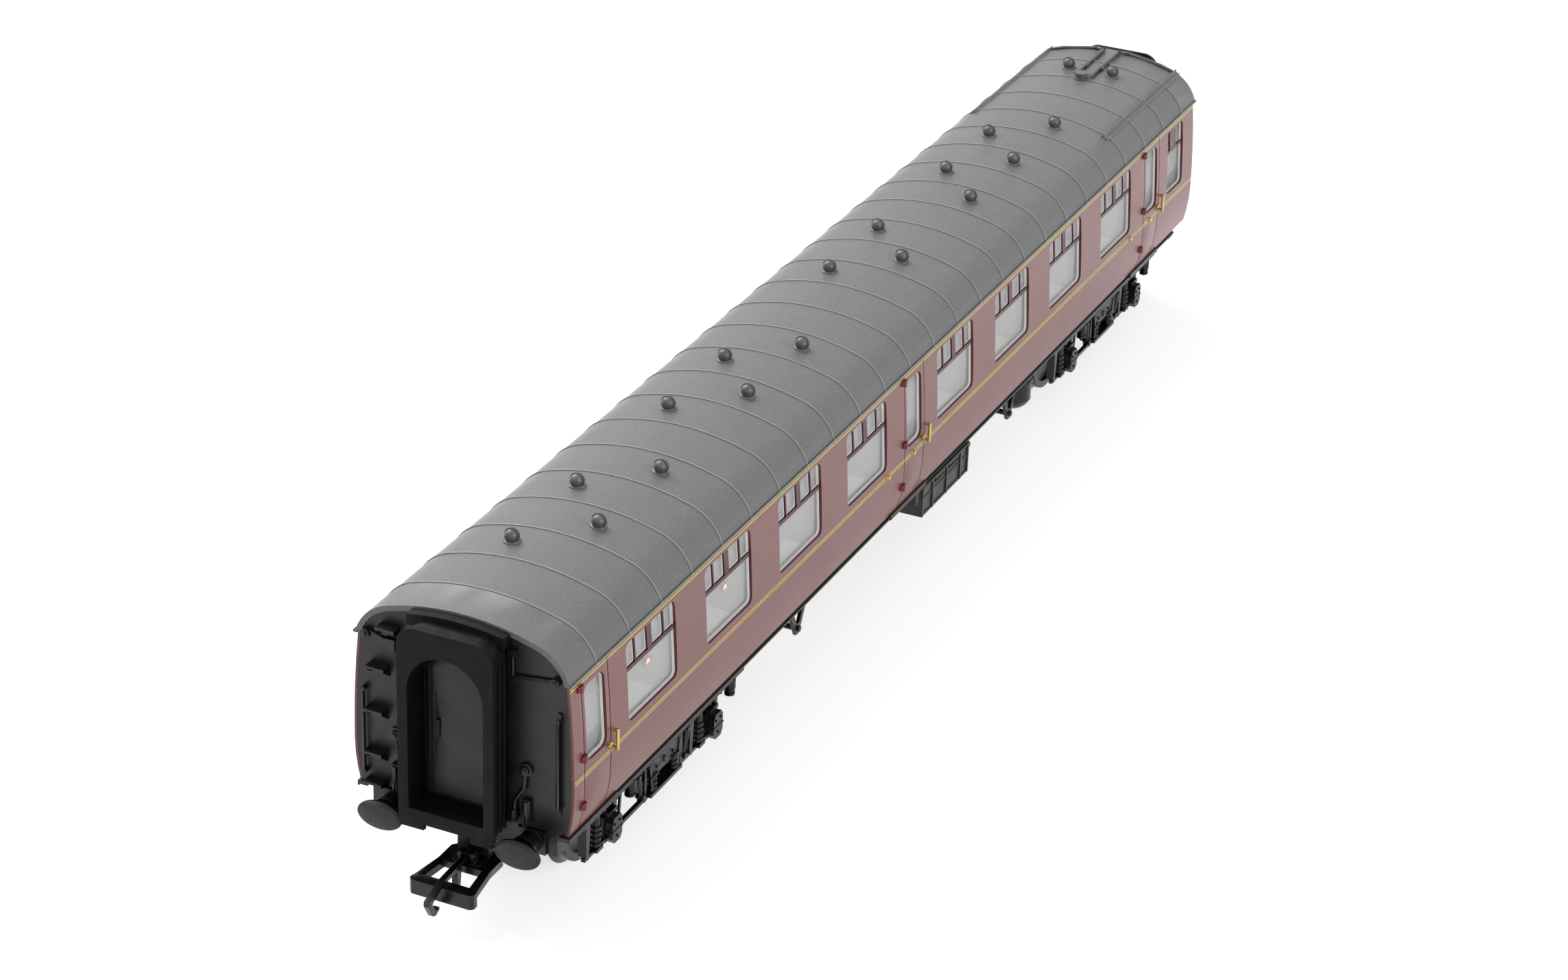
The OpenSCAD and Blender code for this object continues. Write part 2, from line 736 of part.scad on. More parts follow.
// A battery box: panelled front with lipped handles, framed and open at the back.
module battery_box() {
    z0 = body_z - 8.2;
    z1 = body_z - 2.55;
    translate([11.3, 0, 0]) {
        difference() {
            block(-10.2, 10.2, 10.2, 16.1, z0, z1);
            block(-9.4, 9.4, 9, 15.4, z0 - 1, z1 - 0.7);
            for (c = [-2.6, 3.6]) block(c - 2.2, c + 2.2, 15.7, 17, z1 - 1.5, z1 - 0.5);
        }
        for (c = [-9.9, -5.6, 0.5, 6.6, 9.9]) block(c - 0.22, c + 0.22, 16, 16.38, z0, z1);
        block(-10.2, 10.2, 16, 16.3, z0, z0 + 0.4);
        block(-10.2, 10.2, 16, 16.25, z0 + 3.1, z0 + 3.4);
        block(-10.2, 10.2, 16, 16.4, z1 - 0.35, z1);
        for (c = [-2.6, 3.6]) block(c - 2, c + 2, 15.5, 16.35, z1 - 0.8, z1 - 0.5);
        for (c = [-8.5, 8.5]) block(c - 0.8, c + 0.8, 10.2, 14.5, z1 - eps, pan_z);
        block(-12.2, -10.1, 13.4, 15.9, z1 - 2.6, z1);
        translate([0, 15, z1 - 1.6]) rod_x(10.1, 11.8, 0.45);
        translate([0, 15, z1 - 1.6]) rod_x(11.4, 12.4, 0.75);
    }
}

module battery_boxes() {
    color("#3b3d3f") {
        mirror([0, 1, 0]) battery_box();
        translate([-22.6, 0, 0]) battery_box();
    }
}

// Upright domed cylinder on its bracket.
module vacuum_cylinder() {
    translate([52, 12.6, 0]) {
        translate([0, 0, body_z - 7.4]) cylinder(h = 4.8, r = 3.1);
        translate([0, 0, body_z - 4.1]) cylinder(h = 0.7, r = 3.35);
        intersection() {
            translate([0, 0, body_z - 6.2]) sphere(r = 3.33);
            block(-4, 4, -4, 4, body_z - 10, body_z - 7.35);
        }
        block(-1, 1, -2.4, 1.4, body_z - 2.7, pan_z);
        translate([0, 0, body_z - 6.5]) rod_x(2.9, 4.4, 0.5);
    }
}

module vacuum_cylinders() {
    color("#202124") {
        mirror([0, 1, 0]) vacuum_cylinder();
        rotate([0, 0, 180]) mirror([0, 1, 0]) vacuum_cylinder();
    }
}

module hanger() {
    b = body_z;
    along_y(13.9, 14.5) difference() {
        polygon([[-50.4, pan_z], [-45.9, b - 8.6], [-44.7, b - 8.6], [-40.2, pan_z]]);
        polygon([[-48.9, pan_z + 1], [-47.6, b - 3.1], [-43.1, b - 3.1], [-41.7, pan_z + 1]]);
        polygon([[-47.3, b - 3.8], [-45.8, b - 6.6], [-44.8, b - 6.6], [-43.4, b - 3.8]]);
    }
}

// V hangers and cross shafts of the brake, with the long pull rod between them.
module brake_hangers() {
    b = body_z;
    color("#1c1d1f") {
        both_ends() {
            both_sides() hanger();
            translate([-45.3, 0, b - 7.6]) rod_y(-14.9, 14.9, 0.5);
        }
        for (x = [-45.3, 45.3])
            translate([x, 0, b]) along_y(-2.8, -2.2)
                polygon([[-0.8, -7.9], [0.8, -7.9], [0.3, -3.9], [-0.3, -3.9]]);
        translate([0, -2.5, b - 4.2]) rod_x(-45.3, 45.3, 0.35);
    }
}

// The dynamo hangs across the coach from its bracket.
module dynamo() {
    color("#202124") translate([33, 0, body_z - 5]) {
        rod_y(3.4, 8.2, 2.5);
        rod_y(2.9, 3.5, 1.9);
        rod_y(8.1, 8.5, 1.2);
        block(-1.2, 1.2, 4, 7.4, 2, pan_z - body_z + 5);
        rod_y(0.9, 3, 0.5);
        difference() {
            rod_y(0.9, 1.9, 1.5);
            rod_y(1.2, 1.6, 3);
        }
        rod_y(0.9, 1.9, 1.1);
    }
}

module pocket() {
    x = -coupling_x;
    block(x - 2.4, x + 2.4, -2.6, 2.6, coupling_z + 1.5, pan_z);
    block(x - 2.4, x + 2.4, -3.4, 3.4, body_z - 3, pan_z);
    translate([x, 0, coupling_z - 0.4]) cylinder(h = 2, r = coupling_pin);
    translate([x, 0, coupling_z - 1.1]) cylinder(h = 0.72, r = coupling_pin + 0.6);
}

module coupling_pockets() {
    color("#1c1d1f") both_ends() pocket();
}

// ---- inside ----
module partition(x) {
    along_x(x - 0.4, x + 0.4) difference() {
        union() {
            hall_section(wall + 0.4, floor_z, eaves_z);
        }
        translate([-3.6, floor_z - 1]) square([7.2, 20]);
    }
}

module partitions() {
    color("#c9c4b8") {
        for (x = [door_x(0) + door_width + 0.5, door_x(1) - 2, door_x(1) + door_width + 0.5,
                door_x(2) - 2, door_x(2) + door_width + 0.5])
            partition(x);
        for (s = [-1, 1])
            block(door_x(2) + door_width + 0.5, half_length - end_wall - 0.9, s * 4.4 - 0.4, s * 4.4 + 0.4,
                floor_z, eaves_z - 2);
    }
}

// One double seat facing +X: cushion, plinth, back and head rest.
module seat() {
    along_y(4.2, 15.3) polygon([[-12.2, floor_z], [-12.2, floor_z + 14.6], [-11.9, floor_z + 15.4],
        [-11.3, floor_z + 15.4], [-10.9, floor_z + 14.8], [-10.9, floor_z + 12.5],
        [-11.2, floor_z + 11.8], [-10.7, floor_z + 6.2], [-6.1, floor_z + 6.6], [-5.5, floor_z + 6.2],
        [-5.5, floor_z + 4.6], [-6.3, floor_z + 4.1], [-6.3, floor_z]]);
}

module seats() {
    color("#d8d6d0")
    for (i = [0, 1], k = [0:3])
        translate([bay_x(i, k), 0, 0])
            both_sides()
                for (s = [0, 1]) mirror([s, 0, 0]) seat();
}

module tables() {
    color("#e4e2dc")
    for (i = [0, 1], k = [0:3])
        translate([bay_x(i, k), 0, 0]) both_sides() {
            block(-3.9, 3.9, 8.2, 15.9, floor_z + 8.4, floor_z + 9);
            block(-0.5, 0.5, 12, 15.6, floor_z, floor_z + 8.4 + eps);
        }
}

// ---- bogies, drawn round their own pivot ----
module side_plate() {
    a = axle_z;
    difference() {
        along_y(frame_inner, frame_outer) difference() {
            polygon([[-end_x - 1.4, a + 3.2], [-end_x - 1.4, bogie_top], [end_x + 1.4, bogie_top],
                [end_x + 1.4, a + 3.2], [half_base + 3.4, a + 2.5], [half_base + 2.3, a - 2.6],
                [half_base - 2.3, a - 2.6], [half_base - 3.4, a + 2.5], [5.6, a + 2.2],
                [4.7, a + 0.6], [-4.7, a + 0.6], [-5.6, a + 2.2], [3.4 - half_base, a + 2.5],
                [2.3 - half_base, a - 2.6], [-half_base - 2.3, a - 2.6], [-half_base - 3.4, a + 2.5]]);
            for (s = [-1, 1]) translate([s * (half_base - 7.6), a + 3.45]) circle(r = 0.5);
        }
        for (s = [-1, 1])
            translate([s * half_base, 0, a])
                rod_y(frame_inner - 1, frame_outer + 1, journal_radius + running);
    }
    block(-end_x - 1.4, end_x + 1.4, frame_outer - eps, 14.8, bogie_top - 0.6, bogie_top);
}

module bogie_frame() {
    a = axle_z;
    color("#1d1e20") difference() {
        union() {
            both_sides() side_plate();
            for (s = [-1, 1]) {
                translate([s * (end_x + 0.7), 0, 0])
                    block(-0.7, 0.7, -frame_inner - eps, frame_inner + eps, a + 2.7, a + 4.5);
                translate([s * 5.4, 0, 0])
                    block(-0.9, 0.9, -frame_inner - eps, frame_inner + eps, a + 1, a + 4.4);
            }
            block(-4.55, 4.55, -14.5, 14.5, a + 0.9, bolster_top - 0.6);
            block(-3.4, 3.4, -10, 10, a + 0.9, bolster_top - 0.3);
            translate([0, 0, a + 0.9]) cylinder(h = bolster_top - a - 0.9, r = 3.6);
            for (y = [-7, 7]) block(-3, 3, y - 1.2, y + 1.2, a + 0.9, bolster_top - 0.1);
        }
        translate([0, 0, a - 1]) cylinder(h = 10, r = pivot_pin + running);
    }
}

// Axleboxes: a back flange, the six-sided box with its band and bolts, a cap and a stay.
module axlebox() {
    a = axle_z;
    along_y(frame_outer, 13.9) polygon([[-1.95, a - 2.2], [-1.4, a - 3], [1.4, a - 3],
        [1.95, a - 2.2], [1.95, a + 1.7], [-1.95, a + 1.7]]);
    along_y(13.8, 15.25) polygon([[-1.55, a - 2], [-0.9, a - 2.85], [0.9, a - 2.85], [1.55, a - 2],
        [1.55, a + 0.8], [1, a + 1.5], [-1, a + 1.5], [-1.55, a + 0.8]]);
    block(-1.65, 1.65, 13.8, 15.35, a - 0.95, a - 0.65);
    for (b = [[-0.85, 0.4], [0.85, 0.4], [0, -1.9]]) translate([b[0], 0, a + b[1]]) rod_y(15.1, 15.45, 0.22);
    block(-1.35, 1.35, frame_outer, 14.5, a + 1.6, a + 2.3);
    block(-2.3, -1.3, frame_outer, 13.9, a + 1.6, bogie_top - 0.6);
}

module axleboxes() {
    color("#27282b") for (q = [0, 180]) rotate([0, 0, q])
        for (s = [-1, 1]) translate([s * half_base, 0, 0]) axlebox();
}

// A coil spring standing on a seat at z0.
module coil(r, z0, z1, n) {
    p = (z1 - z0) / n;
    translate([0, 0, z0]) cylinder(h = z1 - z0, r = r * 0.72);
    for (i = [0:n - 1]) translate([0, 0, z0 + (i + 0.22) * p]) cylinder(h = p * 0.56, r = r);
}

// Springs of one side, with their seats, brackets, lugs, tie beam and spring plank.
module spring_side() {
    a = axle_z;
    for (s = [-1, 1]) translate([s * half_base, 0, 0]) {
        translate([4.7, 14, 0]) coil(0.85, a - 1.5, a + 2.2, 4);
        translate([4.7, 14, a + 2.2 - eps]) cylinder(h = bogie_top - a - 2.8 + eps, r = 0.65);
        block(3.7, 5.7, 13.2, 14.85, a - 2.1, a - 1.5 + eps);
        along_y(frame_outer, 14.4) polygon([[6.9, bogie_top - 0.6], [8.3, bogie_top - 0.6],
            [8.3, a - 1.6], [7.5, a - 2.4]]);
        translate([-6.4, 14, 0]) coil(0.85, a + 1.1, a + 2.5, 2);
        translate([-6.4, 14, a + 2.5 - eps]) cylinder(h = bogie_top - a - 3.1 + eps, r = 0.95);
        block(1.95, 8.3, 13.5, 14.2, a - 2.4, a - 1.8);
    }
    block(1.95 - half_base, half_base - 1.95, 13.5, 14.2, a - 2.4, a - 1.8);
    for (t = [-1, 1]) translate([t * 3.5, 14, 0]) coil(0.85, a - 1.5, a + 0.9, 3);
    block(-5.2, 5.2, frame_inner, 14.9, a - 2.1, a - 1.5 + eps);
    for (t = [-1, 1]) block(t * 6 - 0.35, t * 6 + 0.35, frame_outer, 14.3, a - 2.4, bogie_top - 0.6);
}

module springs() {
    color("#232427") for (q = [0, 180]) rotate([0, 0, q]) spring_side();
}

// One cast brake block on its hanger beside each wheel.
module brake_gear() {
    a = axle_z;
    r = tread_radius + 0.42;
    color("#1d1e20") for (s = [0, 1]) mirror([s, 0, 0]) {
        both_sides() intersection() {
            translate([half_base, 0, a]) difference() {
                rod_y(8.2, 9.8, r + 1.15);
                rod_y(8, 10, r);
            }
            block(half_base - r - 2, half_base - 5, 8, 10, a - 2.8, a + 2);
        }
        both_sides() block(half_base - r - 1.5, half_base - r - 0.7, 8.6, 9.4, a - 1.4, a + 1.8);
        both_sides() block(6.3, half_base - r - 0.7, 8.6, 9.4, a + 1.1, a + 1.8);
        translate([half_base - r - 1.2, 0, a - 1.1]) rod_y(-9.6, 9.6, 0.3);
    }
}

module wheelset() {
    a = axle_radius;
    b = wheel_back;
    o = wheel_back + wheel_width;
    t = tread_radius;
    j = frame_outer - 0.2;
    color("#8d9092") translate([0, 0, axle_z]) rotate([90, 0, 0]) rotate_extrude()
        polygon([[0, -j], [journal_radius, -j], [journal_radius, -o - 0.9], [a, -o - 0.9],
            [a, -o - 0.1], [2.1, -o - 0.1], [2.2, -o + 0.7], [t - 1.5, -o + 0.7], [t - 1.3, -o + 0.05],
            [t - 0.05, -o + 0.05], [t, -o + 0.15], [t + 0.1, -b - 0.8], [t + flange_depth - 0.12, -b - 0.5],
            [t + flange_depth, -b - 0.3], [t + flange_depth - 0.1, -b - 0.05], [t + flange_depth - 0.4, -b],
            [t - 1.3, -b], [t - 1.5, -b - 0.75], [2.3, -b - 0.75], [2.1, -b + 0.3], [a, -b + 0.3],
            [a, b - 0.3], [2.1, b - 0.3], [2.3, b + 0.75], [t - 1.5, b + 0.75], [t - 1.3, b],
            [t + flange_depth - 0.4, b], [t + flange_depth - 0.1, b + 0.05], [t + flange_depth, b + 0.3],
            [t + flange_depth - 0.12, b + 0.5], [t + 0.1, b + 0.8], [t, o - 0.15], [t - 0.05, o - 0.05],
            [t - 1.3, o - 0.05], [t - 1.5, o - 0.7], [2.2, o - 0.7], [2.1, o + 0.1], [a, o + 0.1],
            [a, o + 0.9], [journal_radius, o + 0.9], [journal_radius, j], [0, j]]);
}

module at_bogie(s) {
    translate([s * pivot_offset, 0, 0]) children();
}

module bogie_frame_a() { at_bogie(-1) bogie_frame(); }
module bogie_frame_b() { at_bogie(1) bogie_frame(); }
module axleboxes_a() { at_bogie(-1) axleboxes(); }
module axleboxes_b() { at_bogie(1) axleboxes(); }
module springs_a() { at_bogie(-1) springs(); }
module springs_b() { at_bogie(1) springs(); }
module brake_gear_a() { at_bogie(-1) brake_gear(); }
module brake_gear_b() { at_bogie(1) brake_gear(); }
module wheelset_1() { translate([-pivot_offset - half_base, 0, 0]) wheelset(); }
module wheelset_2() { translate([-pivot_offset + half_base, 0, 0]) wheelset(); }
module wheelset_3() { translate([pivot_offset - half_base, 0, 0]) wheelset(); }
module wheelset_4() { translate([pivot_offset + half_base, 0, 0]) wheelset(); }

// ---- couplings, drawn at end a ----
module coupling() {
    x = -coupling_x;
    f = -bar_x;
    z = coupling_z;
    color("#1f2022") difference() {
        union() {
            translate([0, 0, z]) linear_extrude(height = 1.2) difference() {
                polygon([[x + 1.2, 2.3], [x - 1.2, 4.3], [x - 5, 4.3], [f + 1.2, bar_half - 0.1],
                    [f + 1.2, 0.1 - bar_half], [x - 5, -4.3], [x - 1.2, -4.3], [x + 1.2, -2.3]]);
                polygon([[x - 5.4, 3.1], [f + 2, 3.7], [f + 2, -3.7], [x - 5.4, -3.1]]);
            }
            translate([x, 0, z]) cylinder(h = 1.2, r = 2.4);
            translate([0, 0, z + 1.2 - bar_height]) linear_extrude(height = bar_height)
                polygon([[f + 1.4, bar_half], [f + 0.5, bar_half], [f, bar_half - 0.5],
                    [f, 0.5 - bar_half], [f + 0.5, -bar_half], [f + 1.4, -bar_half]]);
            for (s = [-1, 1])
                along_y(s * 1.05 - 0.32, s * 1.05 + 0.32) union() {
                    translate([-hook_x - 0.75, z + 1]) square([1.5, 1.3]);
                    translate([-hook_x, z + 2.2]) circle(r = 0.85);
                }
            block(-hook_x - 0.9, x - 2, -2.2, 2.2, z + 1 , z + 1.32);
        }
        translate([x, 0, z - 5]) cylinder(h = 20, r = coupling_pin + running);
        translate([-hook_x, 0, hook_z]) rod_y(-4, 4, 0.4 + running);
        block(-hook_x - 1, x - 1, -0.72, 0.72, z + 1.21, z + 5);
        translate([x, 0, z + 1.2]) cylinder(h = 5, r = 3);
    }
}

// The hook: pivot pin, arm over the bar, turned-down nose with its barb, and tail.
module hook() {
    f = -bar_x;
    h = hook_z;
    color("#2a2b2d") union() {
        along_y(-0.48, 0.48) {
            translate([-hook_x, h]) circle(r = 0.8);
            polygon([[-hook_x, h + 0.5], [f + 0.6, h + 0.1], [f - 3.9, h - 1.2], [f - 4, h - 2],
                [f - 2.7, h - 4.25], [f - 2, h - 4.45], [f - 0.9, h - 3.95], [f - 1, h - 3.5],
                [f - 1.9, h - 3.7], [f - 2.9, h - 2.2], [f - 2.6, h - 1.8], [f + 0.4, h - 0.6],
                [-hook_x, h - 0.55]]);
            polygon([[-hook_x - 2.6, h - 0.3], [-hook_x - 4.1, h - 0.3], [-hook_x - 3.9, h - 3.9],
                [-hook_x - 3.1, h - 3.9]]);
        }
        translate([-hook_x, 0, h]) rod_y(-1.5, 1.5, 0.4);
    }
}

module coupling_a() { coupling(); }
module coupling_b() { rotate([0, 0, 180]) coupling(); }
module coupling_hook_a() { hook(); }
module coupling_hook_b() { rotate([0, 0, 180]) hook(); }

side_left();
side_right();
roof();
roof_vents();
roof_pipes();
end_wall_a();
end_wall_b();
gangway_a();
gangway_b();
corridor_doors();
end_steps();
end_handrails();
end_pipes();
glazing();
window_bars();
door_hinges();
door_handles();
underframe();
truss_rods();
buffers();
footboards();
battery_boxes();
vacuum_cylinders();
brake_hangers();
dynamo();
coupling_pockets();
partitions();
seats();
tables();
bogie_frame_a();
axleboxes_a();
springs_a();
brake_gear_a();
bogie_frame_b();
axleboxes_b();
springs_b();
brake_gear_b();
wheelset_1();
wheelset_2();
wheelset_3();
wheelset_4();
coupling_a();
coupling_hook_a();
coupling_b();
coupling_hook_b();
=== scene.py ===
"""Model railway passenger coach, 00 gauge: its looks, light and camera.

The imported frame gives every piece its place. This script softens the moulded
edges, adds the fine trim and gives each surface its finish.
"""

import json
import logging
import math
from collections.abc import Callable, Sequence
from dataclasses import dataclass
from enum import Enum

import bmesh
import bpy
from mathutils import Matrix, Vector


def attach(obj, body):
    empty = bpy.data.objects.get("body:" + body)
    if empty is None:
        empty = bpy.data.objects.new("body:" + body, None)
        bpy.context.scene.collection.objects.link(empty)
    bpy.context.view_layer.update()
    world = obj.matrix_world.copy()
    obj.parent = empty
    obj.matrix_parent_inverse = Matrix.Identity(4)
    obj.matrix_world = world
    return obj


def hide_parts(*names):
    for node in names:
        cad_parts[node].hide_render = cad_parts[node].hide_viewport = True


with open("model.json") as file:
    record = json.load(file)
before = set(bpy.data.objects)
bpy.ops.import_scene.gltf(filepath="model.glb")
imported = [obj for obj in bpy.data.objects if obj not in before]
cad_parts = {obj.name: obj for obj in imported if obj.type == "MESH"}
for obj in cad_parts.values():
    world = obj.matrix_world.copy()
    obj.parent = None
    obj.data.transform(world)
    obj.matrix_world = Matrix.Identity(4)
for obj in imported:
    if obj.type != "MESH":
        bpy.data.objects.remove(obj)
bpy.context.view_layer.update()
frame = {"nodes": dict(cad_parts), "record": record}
BODY_OF = {
    node: body
    for body, nodes in frame["record"]["behaviour"]["bodies"].items()
    for node in nodes
}

MM = 0.001
FULL_TURN = 2 * math.pi
# Faces that turn by less than this are one flat face.
COPLANAR_DEGREES = 0.6
# Corners nearer than this to a dividing plane lie on it, in metres.
CUT_TOLERANCE = 1e-7
BODY = "coach_body"
log = logging.getLogger("coach")

Colour = tuple[float, float, float, float]


class Side(Enum):
    """The two long sides of the coach, by the sign of Y."""

    LEFT = -1
    RIGHT = 1


class End(Enum):
    """The two ends of the coach, by the letter in their pieces' names."""

    A = "a"
    B = "b"


class Wear(Enum):
    """What the surface's unevenness comes from."""

    SPRAYED = "sprayed"
    MOULDED = "moulded"
    PRINTED = "printed"


# Octaves of noise in the relief: print is dead smooth, spray soft, moulds crisp.
GRAIN_DETAIL = {
    Wear.SPRAYED: 1.0,
    Wear.MOULDED: 3.0,
    Wear.PRINTED: 0.0,
}


# ---------------------------------------------------------------- materials


def linear(code: str) -> Colour:
    """Turn an sRGB hex colour into linear values.

    Args:
        code: Six hex digits after a hash.

    Returns:
        Linear red, green, blue and an alpha of 1.
    """
    parts = [int(code[i : i + 2], 16) / 255 for i in (1, 3, 5)]
    made = [p / 12.92 if p <= 0.04045 else ((p + 0.055) / 1.055) ** 2.4 for p in parts]
    return (made[0], made[1], made[2], 1.0)


def add(
    tree: bpy.types.NodeTree,
    kind: str,
    values: dict | None = None,
    links: dict | None = None,
    **settings: object,
) -> bpy.types.Node:
    """Add one node with its settings, values and incoming links.

    Args:
        tree: The tree it goes into.
        kind: The node's type name.
        values: Input name or index to a value.
        links: Input name or index to the socket that feeds it.
        **settings: Attributes of the node itself.

    Returns:
        The new node.
    """
    made = tree.nodes.new(kind)
    for name, value in settings.items():
        setattr(made, name, value)
    for name, value in (values or {}).items():
        made.inputs[name].default_value = value
    for name, source in (links or {}).items():
        tree.links.new(source, made.inputs[name])
    return made


@dataclass(frozen=True)
class Finish:
    """A real surface: its colour, its gloss and the fine unevenness it shows."""

    name: str
    colour: str
    roughness: float
    metallic: float = 0.0
    ior: float = 1.5
    wear: Wear = Wear.MOULDED
    shift: float = 0.05
    patch_mm: float = 14.0
    grain_mm: float = 0.4
    grain_height_mm: float = 0.006
    speck: float = 0.04
    fleck: str = ""
    gloss_change: float = 0.07
    dust: str = ""
    dust_amount: float = 0.0
    alpha: float = 1.0
    coat: float = 0.0
    coat_roughness: float = 0.25
    specular: float = 0.5

    def build(self) -> bpy.types.Material:
        """Make the material, or find it if another piece has made it.

        Returns:
            The material.
        """
        known = bpy.data.materials.get(self.name)
        if known is not None:
            return known
        made = bpy.data.materials.new(self.name)
        made.use_nodes = True
        tree = made.node_tree
        tree.nodes.clear()
        place = add(tree, "ShaderNodeTexCoord")
        colour = self.paint(tree, place)
        rough = self.gloss(tree, place)
        normal = self.relief(tree, place)
        shader = add(
            tree,
            "ShaderNodeBsdfPrincipled",
            {
                "Metallic": self.metallic,
                "IOR": self.ior,
                "Alpha": self.alpha,
                "Coat Weight": self.coat,
                "Coat Roughness": self.coat_roughness,
                "Specular IOR Level": self.specular,
            },
            {"Base Color": colour, "Roughness": rough, "Normal": normal},
        )
        add(tree, "ShaderNodeOutputMaterial", links={"Surface": shader.outputs[0]})
        return made

    def shade(self, amount: float) -> Colour:
        """The finish's own colour, lighter or darker by a share of itself."""
        return (*[min(1.0, c * (1 + amount)) for c in linear(self.colour)[:3]], 1.0)

    def paint(
        self, tree: bpy.types.NodeTree, place: bpy.types.Node
    ) -> bpy.types.NodeSocket:
        """Colour: slow drift between patches, fine specks, and dust on top.

        Args:
            tree: The material's tree.
            place: The texture coordinate node.

        Returns:
            The socket that carries the colour.
        """
        broad = add(
            tree,
            "ShaderNodeTexNoise",
            {"Scale": 1 / (self.patch_mm * MM), "Detail": 3.0},
            {"Vector": place.outputs["Object"]},
        )
        drift = add(
            tree,
            "ShaderNodeMapRange",
            {"From Min": 0.3, "From Max": 0.7},
            {"Value": broad.outputs[0]},
        )
        base = add(
            tree,
            "ShaderNodeMix",
            {6: self.shade(-self.shift), 7: self.shade(self.shift)},
            {0: drift.outputs[0]},
            data_type="RGBA",
        )
        fine = add(
            tree,
            "ShaderNodeTexNoise",
            {"Scale": 1 / (self.grain_mm * 0.8 * MM), "Detail": 1.0},
            {"Vector": place.outputs["Object"]},
        )
        specks = add(
            tree,
            "ShaderNodeMapRange",
            {"From Min": 0.45, "From Max": 0.75, "To Max": self.speck * 4},
            {"Value": fine.outputs[0]},
        )
        light = linear(self.fleck) if self.fleck else self.shade(0.9)
        made = add(
            tree,
            "ShaderNodeMix",
            {7: light},
            {0: specks.outputs[0], 6: base.outputs[2]},
            data_type="RGBA",
        )
        if not self.dust:
            return made.outputs[2]
        faces = add(tree, "ShaderNodeSeparateXYZ", links={0: place.outputs["Normal"]})
        lying = add(
            tree,
            "ShaderNodeMapRange",
            {"From Min": 0.2, "From Max": 1.0, "To Max": self.dust_amount},
            {"Value": faces.outputs[2]},
        )
        cloud = add(
            tree,
            "ShaderNodeTexNoise",
            {"Scale": 1 / (3.5 * MM), "Detail": 5.0},
            {"Vector": place.outputs["Object"]},
        )
        patchy = add(
            tree,
            "ShaderNodeMapRange",
            {"From Min": 0.35, "From Max": 0.62, "To Min": 0.2, "To Max": 1.0},
            {"Value": cloud.outputs[0]},
        )
        amount = add(
            tree,
            "ShaderNodeMath",
            links={0: lying.outputs[0], 1: patchy.outputs[0]},
            operation="MULTIPLY",
        )
        dusty = add(
            tree,
            "ShaderNodeMix",
            {7: linear(self.dust)},
            {0: amount.outputs[0], 6: made.outputs[2]},
            data_type="RGBA",
        )
        return dusty.outputs[2]

    def gloss(
        self, tree: bpy.types.NodeTree, place: bpy.types.Node
    ) -> bpy.types.NodeSocket:
        """Roughness: handling marks and the spray's or mould's own unevenness.

        Args:
            tree: The material's tree.
            place: The texture coordinate node.

        Returns:
            The socket that carries the roughness.
        """
        broad = add(
            tree,
            "ShaderNodeTexNoise",
            {"Scale": 1 / (self.patch_mm * 0.45 * MM), "Detail": 4.0},
            {"Vector": place.outputs["Object"]},
        )
        made = add(
            tree,
            "ShaderNodeMapRange",
            {
                "From Min": 0.3,
                "From Max": 0.7,
                "To Min": max(0.02, self.roughness - self.gloss_change),
                "To Max": min(1.0, self.roughness + self.gloss_change),
            },
            {"Value": broad.outputs[0]},
        )
        return made.outputs[0]

    def relief(
        self, tree: bpy.types.NodeTree, place: bpy.types.Node
    ) -> bpy.types.NodeSocket:
        """Bump: orange peel on paint, spark texture on mouldings.

        Args:
            tree: The material's tree.
            place: The texture coordinate node.

        Returns:
            The socket that carries the normal.
        """
        grain = add(
            tree,
            "ShaderNodeTexNoise",
            {"Scale": 1 / (self.grain_mm * MM), "Detail": GRAIN_DETAIL[self.wear]},
            {"Vector": place.outputs["Object"]},
        )
        made = add(
            tree,
            "ShaderNodeBump",
            {"Strength": 1.0, "Distance": self.grain_height_mm * MM},
            {"Height": grain.outputs[0]},
        )
        return made.outputs[0]


@dataclass(frozen=True)
class SidePaint(Finish):
    """Satin paint with painted shade: a darker maroon in the cut edges and reveals."""

    # Painted shade of the reveals and cuts.
    recess_shade: str = "#541a1f"

    def paint(
        self, tree: bpy.types.NodeTree, place: bpy.types.Node
    ) -> bpy.types.NodeSocket:
        """Colour of the base finish, with painted shade: darker where a face looks along the
        side.

        Args:
            tree: The material's tree.
            place: The texture coordinate node.

        Returns:
            The socket that carries the colour.
        """
        made = super().paint(tree, place)
        faces = add(tree, "ShaderNodeSeparateXYZ", links={0: place.outputs["Normal"]})
        across = add(
            tree, "ShaderNodeMath", links={0: faces.outputs[1]}, operation="ABSOLUTE"
        )
        # Painted shade: faces that do not face out of the side, in the reveals and cuts, take
        # the darker maroon.
        cut = add(
            tree,
            "ShaderNodeMapRange",
            {"From Min": 0.55, "From Max": 0.85, "To Min": 1.0, "To Max": 0.0},
            {"Value": across.outputs[0]},
        )
        mixed = add(
            tree,
            "ShaderNodeMix",
            {7: linear(self.recess_shade)},
            {0: cut.outputs[0], 6: made},
            data_type="RGBA",
        )
        return mixed.outputs[2]


